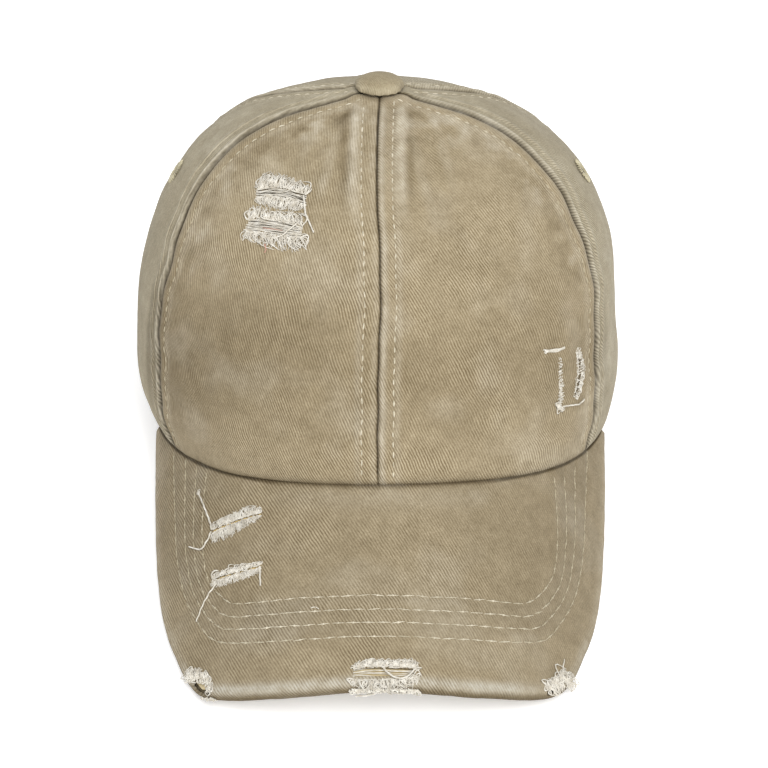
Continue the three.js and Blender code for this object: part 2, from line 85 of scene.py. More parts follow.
def smooth_table(x, y, level_start=False):
    """A smooth curve through a table's rows that never swings past them."""
    steps = np.diff(x)
    slopes = np.diff(y) / steps
    tangents = np.empty(len(x))
    tangents[0] = 0 if level_start else slopes[0]
    tangents[-1] = slopes[-1]
    for i in range(1, len(x) - 1):
        before = 2 * steps[i] + steps[i - 1]
        after = steps[i] + 2 * steps[i - 1]
        turns_back = slopes[i - 1] * slopes[i] <= 0
        tangents[i] = 0 if turns_back else (before + after) / (before / slopes[i - 1] + after / slopes[i])

    def curve(value):
        value = np.asarray(value, float)
        i = np.clip(np.searchsorted(x, value, side="right") - 1, 0, len(x) - 2)
        t = (np.minimum(value, x[-1]) - x[i]) / steps[i]
        u = 1 - t
        inside = (y[i] * (1 + 2 * t) * u * u + tangents[i] * steps[i] * t * u * u
                  + y[i + 1] * t * t * (3 - 2 * t) - tangents[i + 1] * steps[i] * t * t * u)
        return np.where(value < x[0], y[0] + tangents[0] * (value - x[0]), inside)

    return curve


side_share = smooth_table(SECTIONS[:, 0], SECTIONS[:, 1])
front_share = smooth_table(SECTIONS[:, 0], SECTIONS[:, 2])
back_share = smooth_table(SECTIONS[:, 0], SECTIONS[:, 3])
centre_share = smooth_table(SECTIONS[:, 0], SECTIONS[:, 4])
lean_share = smooth_table(SECTIONS[:, 0], SECTIONS[:, 5])
lift_left = smooth_table(RIM_LIFT[:, 0], RIM_LIFT[:, 1])
lift_right = smooth_table(RIM_LIFT[:, 0], RIM_LIFT[:, 2])


def crown_surface(turn, share):
    turn, share = np.broadcast_arrays(np.asarray(turn, float), np.asarray(share, float))
    across = np.sin(np.radians(turn))
    forward = np.cos(np.radians(turn))
    front = CROWN_FRONT_REACH * front_share(share)
    back = CROWN_BACK_REACH * back_share(share)
    return np.stack([
        CROWN_HALF_WIDTH * (side_share(share) * across + lean_share(share)),
        CROWN_BACK_REACH * centre_share(share) - np.where(forward > 0, front, back) * forward,
        CROWN_HEIGHT * share,
    ], axis=-1)


def crown_normal(turn, share):
    turn, share = np.broadcast_arrays(np.asarray(turn, float), np.asarray(share, float))
    top = np.minimum(share + 0.002, 1)
    along = crown_surface(turn + 0.5, share) - crown_surface(turn - 0.5, share)
    up = crown_surface(turn, top) - crown_surface(turn, top - 0.004)
    normal = np.cross(along, up)
    return normal / np.linalg.norm(normal, axis=-1, keepdims=True)


def crown_point(turn, share, off):
    """A point that stands off the crown's outer surface."""
    return crown_surface(turn, share) + crown_normal(turn, share) * np.asarray(off, float)[..., None]


def in_frame(points):
    """Points of the cap's own frame, in millimetres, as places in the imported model's frame."""
    x, y, z = np.moveaxis(np.asarray(points, float), -1, 0)
    y, z = (y * math.cos(LEAN_BACK) - z * math.sin(LEAN_BACK),
            y * math.sin(LEAN_BACK) + z * math.cos(LEAN_BACK))
    return (np.stack([x, y, z], axis=-1) + CAP_PLACE) * MM


def turned_in_frame(directions):
    return (in_frame(directions) - in_frame(np.zeros(3))) / MM


# The peak's sloping cylinder, which the crown's lower edge follows in front.
PEAK_SLOPE = math.radians(29.8)
PEAK_ROLL_RADIUS = 92
PEAK_SEAM_LEVEL = 20
PEAK_FORWARD = np.array([0, -math.cos(PEAK_SLOPE), -math.sin(PEAK_SLOPE)])
PEAK_UP = np.array([0, -math.sin(PEAK_SLOPE), math.cos(PEAK_SLOPE)])
PEAK_SEAM_MIDDLE = crown_surface(0, PEAK_SEAM_LEVEL / CROWN_HEIGHT)
PEAK_END_TURN_ON_CROWN = 72.2
CLEARANCE = 0.35


def level_over_peak(points):
    from_middle = points - PEAK_SEAM_MIDDLE
    return np.hypot(from_middle[..., 0], from_middle @ PEAK_UP + PEAK_ROLL_RADIUS) - PEAK_ROLL_RADIUS


def solve_rising(rising, level, low, high):
    """The values, one for each level, at which a rising function reaches it."""
    low = np.full(np.shape(level), float(low))
    high = np.full(np.shape(level), float(high))
    for _ in range(34):
        middle = (low + high) / 2
        below = rising(middle) < level
        low = np.where(below, middle, low)
        high = np.where(below, high, middle)
    return (low + high) / 2


def share_over_peak(turn, off, level):
    return solve_rising(lambda s: level_over_peak(crown_point(turn, s, np.full(np.shape(s), off))),
                        np.full(np.shape(turn), float(level)), -0.12, 0.4)


REST_START = crown_surface(180, 0)


def share_of_rim(turn, off):
    from_front = np.where(turn > 180, 360 - turn, np.abs(turn))
    right = (turn > 0) & (turn <= 180)
    lift = np.where(right, lift_right(from_front), lift_left(from_front)) * CROWN_HEIGHT

    def height(share):
        point = crown_point(turn, share, np.full(np.shape(share), off))
        return point[..., 2] - REST_START[2] - (point[..., 1] - REST_START[1]) * math.tan(-LEAN_BACK)

    return solve_rising(height, lift, -0.3, 0.4)


def smooth_step(value, start, end):
    t = np.clip((value - start) / (end - start), 0, 1)
    return t * t * (3 - 2 * t)


def blend_rim(turn, start, over_peak, free):
    blend = smooth_step(np.abs(turn), start, start + RIM_BLEND_TURN)
    return over_peak * (1 - blend) + free * blend


def rim_share(turn, off=0):
    over_peak = share_over_peak(turn, off, CLEARANCE)
    return blend_rim(turn, PEAK_END_TURN_ON_CROWN, over_peak, share_of_rim(turn, off))


def seam_turn(low, high, wander=0.0, phase=0.0):
    """The turn of a seam by share of height: straight in the pattern, and wandering a little as sewn."""
    def turn(share):
        share = np.clip(share, 0, 1)
        wave = np.sin(2 * np.pi * 3.3 * share + phase) + 0.7 * np.sin(2 * np.pi * 8.1 * share + 2.3 * phase)
        return low + (high - low) * share + wander * wave * smooth_step(1 - share, 0.03, 0.2)
    return turn


def bump_of_ease(places, size, seed):
    """Slow rises and falls of loose cloth, from -1 to 1, with the given size in millimetres."""
    shift = Vector((seed * 17.3, seed * 5.1, seed * 9.7))
    flat = places.reshape(-1, 3) / MM / size
    values = [noise.fractal(Vector(point) + shift, 0.9, 2.1, 2) for point in flat]
    return np.array(values).reshape(places.shape[:-1])


SEAM_STITCH = 5.2


def flat_side(distance, along, top, groove, seed):
    """How far cloth stands off on the side of a seam where it lies flat, and how much it is rubbed there."""
    beside = np.exp(-((distance - SEAM_STITCH) / 2.6) ** 2)
    wander = np.sin(along / 11.0 + seed) * 1.3 + np.sin(along / 5.3 + 2 * seed) * 0.7
    form = -1.0 * np.exp(-(distance / groove) ** 2)
    form += 0.4 * smooth_step(distance, 0.8, 3.0) * (1 - smooth_step(distance, 5.4, 7.2))
    form -= 0.34 * np.exp(-((distance - SEAM_STITCH) / 0.6) ** 2)
    form += 0.14 * beside * np.sin(2 * np.pi * (along + 0.5 * distance) / 8.4 + wander)
    beyond = np.exp(-((distance - 8.2) / 1.5) ** 2)
    form += 0.8 * top * beyond
    rubbed = 0.16 * np.exp(-((distance - 1.5) / 1.0) ** 2) + 0.48 * top * beyond
    rubbed += 0.16 * np.exp(-((distance - 6.6) / 1.2) ** 2)
    return form, rubbed


def proud_side(distance, along, top, groove, seed):
    """The same for the side whose turned edge rolls up beside the seam and is rubbed pale along its crest."""
    wander = np.sin(along / 9.0 + seed) * 1.1 + np.sin(along / 4.1 + 2 * seed) * 0.8
    crest = np.exp(-((distance - 1.5) / 1.0) ** 2)
    form = -1.1 * np.exp(-(distance / groove) ** 2) + (0.85 + 0.14 * np.sin(along / 3.1 + wander)) * crest
    form -= 0.12 * np.exp(-((distance - 3.4) / 0.8) ** 2)
    second = np.exp(-((distance - 6.4) / 1.1) ** 2)
    form += (0.42 + 0.12 * np.sin(along / 4.7 + 2 * wander)) * second
    form -= 0.26 * np.exp(-((distance - SEAM_STITCH) / 0.5) ** 2)
    beyond = np.exp(-((distance - 8.4) / 1.6) ** 2)
    form += 0.7 * top * beyond
    rubbed = 0.42 * np.exp(-((distance - 1.5) / 1.1) ** 2) + 0.18 * second + 0.48 * top * beyond
    return form, rubbed


def cloth_grid(name, columns, rows):
    """A flat grid of cloth, with the column and the row of each of its points."""
    bpy.ops.object.select_all(action="DESELECT")
    bpy.ops.mesh.primitive_grid_add(x_subdivisions=columns, y_subdivisions=rows, size=1, calc_uvs=True)
    cloth = bpy.context.object
    cloth.name = name
    cloth.data.name = name
    flat = np.empty(len(cloth.data.vertices) * 3)
    cloth.data.vertices.foreach_get("co", flat)
    flat = flat.reshape(-1, 3)
    column = np.rint((flat[:, 0] + 0.5) * columns).astype(int)
    row = np.rint((flat[:, 1] + 0.5) * rows).astype(int)
    return cloth, column, row


def lay_points(cloth, places, uv, **marks):
    """Moves each point of a mesh to its place, and keeps its flat place, its wear and its painted shade."""
    mesh = cloth.data
    mesh.vertices.foreach_set("co", places.ravel())
    corner = np.empty(len(mesh.loops), int)
    mesh.loops.foreach_get("vertex_index", corner)
    mesh.uv_layers[0].name = "cloth"
    mesh.uv_layers[0].data.foreach_set("uv", uv[corner].ravel())
    for mark, values in marks.items():
        attribute = mesh.attributes.new(mark, "FLOAT", "POINT")
        attribute.data.foreach_set("value", np.asarray(values, float))
    mesh.update()


def lay_cloth(cloth, column, row, places, uv, **marks):
    """The same for a grid, whose values are given by column and row."""
    marks = {mark: values[column, row] for mark, values in marks.items()}
    lay_points(cloth, places[column, row], uv[column, row], **marks)


def inside_outline(x, y, outline):
    """Which points lie inside a closed outline."""
    inside = np.zeros(np.shape(x), bool)
    for (xa, ya), (xb, yb) in zip(outline, outline[1:] + outline[:1]):
        crosses = (ya > y) != (yb > y)
        with_slope = np.where(crosses, (xb - xa) * (y - ya) / (yb - ya if yb != ya else 1) + xa, 0)
        inside ^= crosses & (x < with_slope)
    return inside


def cut_faces(cloth, cut_points):
    """Cuts away the faces whose middle lies on points that are marked as cut."""
    mesh = cloth.data
    marked = [bool(np.mean([cut_points[v] for v in face.vertices]) > 0.5) for face in mesh.polygons]
    if not any(marked):
        return
    bpy.context.tool_settings.mesh_select_mode = (False, False, True)
    mesh.vertices.foreach_set("select", np.zeros(len(mesh.vertices), bool))
    mesh.edges.foreach_set("select", np.zeros(len(mesh.edges), bool))
    mesh.polygons.foreach_set("select", marked)
    bpy.ops.object.mode_set(mode="EDIT")
    bpy.ops.mesh.delete(type="FACE")
    bpy.ops.object.mode_set(mode="OBJECT")


def finish_cloth(cloth, thickness, material, inner_material=None):
    """Gives a sheet its thickness on the inner side, smooth shading and its finish."""
    cloth.data.materials.append(material)
    wall = cloth.modifiers.new("thickness", "SOLIDIFY")
    wall.thickness = thickness * MM
    wall.offset = -1
    if inner_material:
        cloth.data.materials.append(inner_material)
        wall.material_offset = 1
    bpy.ops.object.modifier_apply(modifier=wall.name)
    bpy.ops.object.shade_smooth_by_angle(angle=math.radians(55))


def linear(code):
    """A colour written as sRGB hex, turned linear."""
    parts = [int(code[i:i + 2], 16) / 255 for i in (1, 3, 5)]
    return [p / 12.92 if p <= 0.04045 else ((p + 0.055) / 1.055) ** 2.4 for p in parts] + [1]


def add_node(tree, kind, settings=None, links=None):
    """Adds a node with its settings. A link is a value for an input, or another node's output."""
    made = tree.nodes.new("ShaderNode" + kind)
    for name, value in (settings or {}).items():
        setattr(made, name, value)
    for name, value in (links or {}).items():
        if isinstance(value, bpy.types.NodeSocket):
            tree.links.new(value, made.inputs[name])
        else:
            made.inputs[name].default_value = value
    return made


def add_math(tree, operation, *values, clamp=False):
    """Arithmetic on numbers and other nodes' outputs."""
    settings = {"operation": operation, "use_clamp": clamp}
    return add_node(tree, "Math", settings, dict(enumerate(values))).outputs[0]


def add_range(tree, value, start, end, low=0.0, high=1.0):
    """A value carried from one range to another and held inside it."""
    return add_node(tree, "MapRange", links={
        "Value": value, "From Min": start, "From Max": end, "To Min": low, "To Max": high}).outputs[0]


def add_noise(tree, place, scale, detail, roughness=0.5):
    return add_node(tree, "TexNoise", links={
        "Vector": place, "Scale": scale, "Detail": detail, "Roughness": roughness}).outputs["Fac"]


def mix_colours(tree, share, first, second, blend="MIX"):
    """A colour between two, each of them a hex code or another node's output."""
    first, second = (linear(colour) if isinstance(colour, str) else colour for colour in (first, second))
    return add_node(tree, "Mix", {"data_type": "RGBA", "blend_type": blend}, {
        0: share, 6: first, 7: second}).outputs[2]


def new_finish(name, roughness, specular=0.5, sheen=0.0):
    """A new material, with its tree of nodes and its shader."""
    material = bpy.data.materials.new(name)
    material.use_nodes = True
    shader = material.node_tree.nodes["Principled BSDF"]
    shader.inputs["Roughness"].default_value = roughness
    shader.inputs["Specular IOR Level"].default_value = specular
    shader.inputs["Sheen Weight"].default_value = sheen
    return material, material.node_tree, shader


def garment_twill(name, valley, ridge, worn, rib_turn=25, rib_space=0.9, sheen=0.12, smooth_from=0.2):
    """Garment-washed cotton twill: steep ribs with an uneven, slightly hairy face, mottled where the dye has
    washed out, and pale where edges and puckers have rubbed."""
    material, tree, shader = new_finish(name, roughness=0.94, specular=0.18)
    shader.inputs["Sheen Roughness"].default_value = 0.55
    shader.inputs["Sheen Tint"].default_value = linear("#EFE8D8")

    flat = add_node(tree, "UVMap", {"uv_map": "cloth"}).outputs["UV"]
    turned = add_node(tree, "Mapping", links={
        "Vector": flat, "Rotation": (0, 0, math.radians(-rib_turn))}).outputs["Vector"]
    # A wave repeats every 2 pi / 20 of its scaled place.
    ribs = add_node(tree, "TexWave", {"bands_direction": "X"}, {
        "Vector": turned, "Scale": 2 * math.pi / 20 / rib_space,
        "Distortion": 2.2, "Detail": 3, "Detail Scale": 0.9}).outputs["Fac"]
    long_hair = add_node(tree, "Mapping", links={"Vector": turned, "Scale": (2.2, 0.45, 1)}).outputs["Vector"]
    hair = add_noise(tree, long_hair, 1.0, 3, 0.65)
    fuzz = add_noise(tree, flat, 1.4, 3, 0.7)

    place = add_node(tree, "TexCoord").outputs["Object"]
    cloud = add_noise(tree, place, 34, 3, 0.6)
    speckle = add_noise(tree, place, 210, 3, 0.65)
    wear = add_node(tree, "Attribute", {"attribute_name": "wear"}).outputs["Fac"]
    # The shade mark is painted shade, and on the front panels also their dark mottle; it darkens the colour
    # and lessens the sheen.
    shade = add_node(tree, "Attribute", {"attribute_name": "shade"}).outputs["Fac"]
    open_part = add_math(tree, "SUBTRACT", 1.0, shade, clamp=True)
    haze = add_math(tree, "MULTIPLY", open_part, sheen)
    tree.links.new(haze, shader.inputs["Sheen Weight"])

    clearness = add_range(tree, add_noise(tree, place, 60, 2), 0.35, 0.65, low=0.35)
    # The nap is rubbed smooth towards the top of the crown and on the cap's right side.
    measured = add_node(tree, "SeparateXYZ", links={"Vector": place})
    for axis, start, end in (("X", smooth_from, smooth_from + 0.045), ("Z", 0.108, 0.132)):
        napped = add_range(tree, measured.outputs[axis], start, end, 1.0, 0.4)
        clearness = add_math(tree, "MULTIPLY", clearness, napped)
    ribs_seen = add_node(tree, "Mix", {"data_type": "FLOAT"}, {0: clearness, 2: 0.5, 3: ribs}).outputs[0]
    hair_part = add_math(tree, "MULTIPLY_ADD", hair, 1.0, -0.5)
    thread_light = add_math(tree, "ADD", ribs_seen, hair_part, clamp=True)
    # Painted shade darkens the valleys between the ribs; the hair noise varies the yarn's own tone.
    weave = mix_colours(tree, thread_light, valley, ridge)
    washed = add_range(tree, cloud, 0.32, 0.7, 0.89, 1.08)
    flecked = add_range(tree, speckle, 0.3, 0.72, 0.86, 1.1)
    linted = add_range(tree, fuzz, 0.3, 0.7, 0.84, 1.16)
    mottle = add_math(tree, "MULTIPLY", add_math(tree, "MULTIPLY", washed, flecked), linted)
    shade_darkening = add_range(tree, shade, 0.0, 1.0, 1.0, 0.22)
    depth = add_math(tree, "MULTIPLY", mottle, shade_darkening)
    # Where painted shade and mottle darken the cloth, it is warmer too.
    green, blue = (add_math(tree, "POWER", depth, power) for power in (1.08, 1.25))
    tone = add_node(tree, "CombineColor", links={0: depth, 1: green, 2: blue}).outputs[0]
    painted_shade_mix = mix_colours(tree, 1.0, weave, tone, blend="MULTIPLY")
    rubbed = add_math(tree, "MULTIPLY_ADD", thread_light, 0.7, 0.35)
    patchy = add_range(tree, speckle, 0.3, 0.65, 0.55, 1.25)
    rubbed = add_math(tree, "MULTIPLY", rubbed, patchy)
    worn_part = add_math(tree, "MULTIPLY", wear, rubbed, clamp=True)
    tree.links.new(mix_colours(tree, worn_part, painted_shade_mix, worn), shader.inputs["Base Color"])

    relief = add_math(tree, "MULTIPLY_ADD", fuzz, 0.7, ribs)
    relief = add_math(tree, "MULTIPLY_ADD", hair, 0.6, relief)
    bump = add_node(tree, "Bump", links={"Height": relief, "Strength": 0.55, "Distance": 0.00022}).outputs[0]
    tree.links.new(bump, shader.inputs["Normal"])
    return material


front_twill = garment_twill("washed cotton twill, front", "#75664B", "#AC9F85", "#C8C1B1", smooth_from=0.045)
side_twill = garment_twill("washed cotton twill, sides", "#786F5B", "#ACA28A", "#C8C2B3", sheen=0.15)
inner_twill = garment_twill("cotton twill, wrong side", "#7C725D", "#A79C83", "#C2BAA6", rib_turn=-23)

# Each panel runs between two seams, named by their turn at the rim and at the top.
CENTRE_FRONT = (0, 0, 0.12, 0.4)
FRONT_SEAM_LEFT = (-57.2, -67.3, 0.4, 1.1)
FRONT_SEAM_RIGHT = (57.2, 67.3, 0.42, 2.6)
BACK_SEAM_LEFT = (-120, -120, 0.16, 3.9)
BACK_SEAM_RIGHT = (120, 120, 0.16, 5.2)
CENTRE_BACK_LEFT = (-180, -180, 0.2, 0)
CENTRE_BACK_RIGHT = (180, 180, 0.2, 0)

# The half width of the groove along a seam, where it isn't the usual one, in millimetres.
SEAM_GROOVES = {CENTRE_FRONT: 0.33, FRONT_SEAM_LEFT: 0.75, FRONT_SEAM_RIGHT: 0.75}

# The torn places of the front panels: a point by turn and share of height, and round it the outlines of the
# open places in millimetres to the right and up.
LEFT_PATCH = (-30.5, 0.80)
UPPER_WINDOW_TOP = [(-11, 6.8), (-5.7, 8.4), (0.2, 9.2), (9, 8.3)]
UPPER_WINDOW_FOOT = [(-9.4, 3.8), (-4.4, 5.6), (3.4, 5.9), (9.6, 4.6)]
LOWER_WINDOW_TOP = [(-10, -4.4), (-4.6, -2.6), (3.6, -2), (9.8, -2.8)]
LOWER_WINDOW_FOOT = [(-9, -8.4), (-3.1, -7.9), (4.7, -7.3), (9.8, -6.8)]
LEFT_TEARS = (LEFT_PATCH, [
    UPPER_WINDOW_TOP + UPPER_WINDOW_FOOT[::-1], LOWER_WINDOW_TOP + LOWER_WINDOW_FOOT[::-1]])
RIGHT_PATCH = (45.2, 0.36)
INNER_SLIT_LEFT = [(0, 9.4), (0.3, 4.8), (0.6, -0.5), (0.5, -5.9), (-0.4, -10.4)]
INNER_SLIT_RIGHT = [(1.2, 9.4), (1.5, 4.8), (1.8, -0.5), (1.7, -5.9), (0.8, -10.4)]
OUTER_SLIT_LEFT = [(10.4, 6.2), (11.2, 3), (11.4, -2.5), (9.8, -6.7), (8.1, -9.7)]
OUTER_SLIT_RIGHT = [(11.4, 6.4), (13.6, 1), (13.7, -4), (11.4, -8), (9.3, -10.6)]
RIGHT_TEARS = (RIGHT_PATCH, [
    INNER_SLIT_LEFT + INNER_SLIT_RIGHT[::-1], OUTER_SLIT_LEFT + OUTER_SLIT_RIGHT[::-1]])


def run_along(points):
    """The distance along a line of points from its first one."""
    return np.concatenate([[0], np.cumsum(np.linalg.norm(np.diff(points, axis=0), axis=-1))])


def near_point(turn, share):
    """Turns millimetres to the right of and above a point of the crown into its turn and share of height."""
    right = np.linalg.norm(crown_surface(turn + 0.5, share) - crown_surface(turn - 0.5, share))
    up = np.linalg.norm(crown_surface(turn, share + 0.005) - crown_surface(turn, share - 0.005)) / 0.01
    return lambda x, y: (turn + np.asarray(x) / right, share + np.asarray(y) / up)


EYELET_TURN = 91
EYELET_SHARE = 0.755
EYELET_HOLE = 2.0
OPENING_HALF_WIDTH = 40
OPENING_HEIGHT = 58


def crown_panel(node, seam_a, seam_b, side_a, side_b, grain, drawn, cell, material, material_slot, seed,
                tears=None, eyelet_side=0, at_back=False):
    """One gore of the crown between two seams, with its cloth relief, its holes and its wear. Its grain runs
    straight up at a share of its width, and its weave is drawn out by a small factor."""
    edge_a, edge_b = seam_turn(*seam_a), seam_turn(*seam_b)
    ends = crown_surface(np.array([seam_a[0], seam_b[0]]), np.array([0.2, 0.2]))
    columns = int(1.06 * np.linalg.norm(ends[0] - ends[1]) / cell)
    # The grid is finer beside the seams, where the cloth is turned in.
    across = np.linspace(0, 1, columns + 1)[:, None]
    across = across - 0.5 * np.sin(2 * np.pi * across) / (2 * np.pi)
    rim = rim_share(seam_a[0] + (seam_b[0] - seam_a[0]) * across[:, 0])[:, None]
    fine = 1 - (1 - rim) * (1 - np.linspace(0, 1, 301)[None, :]) ** 1.5
    line = crown_surface(edge_a(fine) + (edge_b(fine) - edge_a(fine)) * across, fine)
    length = np.concatenate([
        np.zeros((columns + 1, 1)),
        np.cumsum(np.linalg.norm(np.diff(line, axis=1), axis=-1), axis=1)], axis=1)
    rows = int(length[:, -1].max() / cell)
    wanted = np.linspace(0, 1, rows + 1)[None, :] * length[:, -1:]
    share = np.stack([np.interp(wanted[i], length[i], fine[i]) for i in range(columns + 1)])
    turn = edge_a(share) + (edge_b(share) - edge_a(share)) * across
    smooth = crown_surface(turn, share)
    steps = np.linalg.norm(np.diff(smooth, axis=0), axis=-1)
    from_a = np.concatenate([np.zeros((1, rows + 1)), np.cumsum(steps, axis=0)])
    from_b = from_a[-1:] - from_a
    from_rim = wanted
    from_top = length[:, -1:] - wanted

    near_top = smooth_step(from_top, 2, 11)
    at_front = smooth_step(70 - np.abs(turn), 0, 3)
    puffed = smooth_step(from_top, 4, 10) * (1 - smooth_step(from_top, 38, 62))
    a_is_centre, b_is_centre = seam_a is CENTRE_FRONT, seam_b is CENTRE_FRONT
    groove_a, groove_b = (SEAM_GROOVES.get(seam, 0.55) for seam in (seam_a, seam_b))
    form_a, rubbed_a = side_a(from_a, from_top, puffed * a_is_centre, groove_a, seed)
    form_b, rubbed_b = side_b(from_b, from_top, puffed * b_is_centre, groove_b, seed + 3.1)
    above_rim = smooth_step(from_rim, 0.5, 5)
    form = near_top * above_rim * (form_a + form_b)
    form -= (1 - near_top) * 0.6 * (np.exp(-(from_a / 0.8) ** 2) + np.exp(-(from_b / 0.8) ** 2))
    form -= (0.9 - 0.2 * at_front) * np.exp(-(from_rim / (0.9 + 0.3 * at_front)) ** 2)
    form += 0.8 * np.exp(-((from_top - 3.4) / 2.6) ** 2)
    flat_places = in_frame(smooth)
    inner = smooth_step(np.minimum(from_a, from_b), 6, 24) * near_top
    form += inner * 0.9 * bump_of_ease(flat_places, 34, seed)
    form += 0.15 * near_top * bump_of_ease(flat_places, 9, seed + 1)
    # Close to the button the fullness of the front panels gathers in soft folds beside the centre seam.
    from_centre = np.minimum(from_a if a_is_centre else from_b, 60)
    folding = (smooth_step(from_top, 14, 26) * (1 - smooth_step(from_top, 36, 66))
               * smooth_step(from_centre, 7, 11) * (1 - smooth_step(from_centre, 20, 34)) * at_front)
    folds = folding * np.sin(2 * np.pi * (from_centre - 0.2 * from_top) / 9.5 + seed)
    folds *= 0.5 + 0.8 * bump_of_ease(flat_places, 13, seed + 4)
    form += 0.6 * folds
    places = in_frame(crown_point(turn, share, form))

    smudge = smooth_step(bump_of_ease(flat_places, 19, seed + 2), -0.1, 0.7)
    wear = near_top * (rubbed_a + rubbed_b) + 0.16 * smudge + 0.3 * np.maximum(folds, 0)
    # The front panels are mottled in a band inside their seams, most of all near the top.
    mottle = bump_of_ease(flat_places, 7.5, seed + 6) + 0.3 * bump_of_ease(flat_places, 2.2, seed + 8)
    from_side = from_a if b_is_centre else from_b
    band = np.exp(-((from_side - 11) / 5) ** 2) * smooth_step(from_rim, 50, 75)
    band = at_front * (band + 0.8 * smooth_step(from_top, 6, 12) * (1 - smooth_step(from_top, 22, 44)))
    wear += 0.42 * band * np.maximum(mottle, 0)
    wear += 0.12 * (1 - at_front) * np.exp(-((from_rim - 1.0) / 1.2) ** 2)
    # Painted shade darkens each seam's groove.
    groove = 1.4 * (np.exp(-(from_a / groove_a) ** 2) + np.exp(-(from_b / groove_b) ** 2))
    # Painted shade on the lower middle of the front, more on its left, and in the valley past the centre
    # seam's pale ridge. The dark half of the mottle is the cloth's own.
    painted_shade_and_mottle = 0.24 * np.exp(-((from_rim - 40) / 28) ** 2) * at_front * (1 + 0.9 * smooth_step(-turn, 8, 40))
    painted_shade_and_mottle += 0.36 * band * np.maximum(-mottle, 0)
    painted_shade_and_mottle += 0.25 * puffed * at_front * np.exp(-((from_centre - 11.4) / 1.7) ** 2)
    # Painted shadow along the rim where the front panels meet the peak.
    under = at_front * (0.6 * np.exp(-(from_rim / 0.6) ** 2) + 0.08 * np.exp(-(from_rim / 3) ** 2))
    # Laid flat, the gore opens like a fan: its level lines turn as it widens, less by what the cloth gives.
    width_here = from_a[-1:]
    from_grain = from_a - grain * width_here
    swing = 0.65 * from_grain / width_here * np.gradient(width_here[0], from_top.mean(axis=0))
    swing = np.where(np.abs(swing) < 0.0001, 0.0001, swing)
    uv = np.stack([from_grain * np.sin(swing) / swing,
                   from_grain * (1 - np.cos(swing)) / swing - from_top], axis=-1) / drawn

    cloth, column, row = cloth_grid("cloth_" + node, columns, rows)
    lay_cloth(cloth, column, row, places, uv, wear=wear, shade=np.clip(groove + under + painted_shade_and_mottle, 0, 1))
    cut = np.zeros(turn.shape, bool)
    if tears:
        centre, outlines = tears
        for outline in outlines:
            cut |= inside_outline(turn, share, [near_point(*centre)(x, y) for x, y in outline])
    if eyelet_side:
        eyelet = crown_surface(eyelet_side * EYELET_TURN, EYELET_SHARE)
        cut |= np.linalg.norm(smooth - eyelet, axis=-1) < EYELET_HOLE + 0.3
    if at_back:
        level = np.maximum(smooth[..., 2], 0) / OPENING_HEIGHT
        cut |= np.hypot(smooth[..., 0] / OPENING_HALF_WIDTH, level) < 1.02
    cut_faces(cloth, cut[column, row])
    finish_cloth(cloth, PANEL_THICKNESS, material, inner_twill)
    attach(cloth, "root")
    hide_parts(node)
    return cloth, drawn


# A panel's two seams, the forms of its two sides, the share of its width at which the grain runs straight up,
# how far its weave is drawn out, its mesh size in millimetres, its finish, slot, seed and holes.
PANELS = {
    "panel_front_left": (FRONT_SEAM_LEFT, CENTRE_FRONT, flat_side, flat_side, 0.72, 1.05, 0.85,
                         front_twill, "twill_front", 1.7, {"tears": LEFT_TEARS}),
    "panel_front_right": (CENTRE_FRONT, FRONT_SEAM_RIGHT, proud_side, flat_side, 0.24, 0.95, 0.85,
                          front_twill, "twill_front", 2.9, {"tears": RIGHT_TEARS}),
    "panel_side_left": (BACK_SEAM_LEFT, FRONT_SEAM_LEFT, flat_side, proud_side, 0.5, 1, 1.2,
                        side_twill, "twill_side", 4.3, {"eyelet_side": -1}),
    "panel_side_right": (FRONT_SEAM_RIGHT, BACK_SEAM_RIGHT, proud_side, flat_side, 0.5, 1, 1.2,
                         side_twill, "twill_side", 5.9, {"eyelet_side": 1}),
    "panel_back_left": (CENTRE_BACK_LEFT, BACK_SEAM_LEFT, flat_side, proud_side, 0.5, 1, 1.4,
                        side_twill, "twill_side", 7.1, {"at_back": True}),
    "panel_back_right": (BACK_SEAM_RIGHT, CENTRE_BACK_RIGHT, proud_side, flat_side, 0.5, 1, 1.4,
                         side_twill, "twill_side", 8.3, {"at_back": True}),
}
panels = {}
for node, (*pattern, holes) in PANELS.items():
    panels[node] = crown_panel(node, *pattern, **holes)

# Peak: a stiffener board between an upper and a lower cloth of the same twill. The upper cloth is turned down
# over the edge, where washing has rubbed it pale, and four rows of stitches run round it through all layers.
PEAK_LENGTH = 71
PLAN_CENTRE = 60
PEAK_END_TURN = 82
PEAK_CLOTH_THICKNESS = 0.95
PEAK_THICKNESS = 4.3
# Width of the peak beyond the crown by its turn in the flat plan, as a share of its length.
PEAK_WIDTHS = np.array([
    [0, 1],
    [14, 1.043],
    [26, 1.079],
    [36, 0.922],
    [44, 0.764],
    [52, 0.586],
    [60, 0.42],
    [68, 0.27],
    [76, 0.132],
    [82, 0.042],
])
peak_width = smooth_table(PEAK_WIDTHS[:, 0], PEAK_WIDTHS[:, 1], level_start=True)


def peak_surface(across, along, level):
    across, along, level = np.broadcast_arrays(*(np.asarray(v, float) for v in (across, along, level)))
    roll = across / PEAK_ROLL_RADIUS
    radius = PEAK_ROLL_RADIUS + level
    return (PEAK_SEAM_MIDDLE
            + PEAK_FORWARD * along[..., None]
            + PEAK_UP * (radius * np.cos(roll) - PEAK_ROLL_RADIUS)[..., None]
            + np.array([1.0, 0, 0]) * (radius * np.sin(roll))[..., None])


def plan_point(turn, radius, level):
    turn = np.radians(turn)
    return peak_surface(radius * np.sin(turn), radius * np.cos(turn) - PLAN_CENTRE, level)


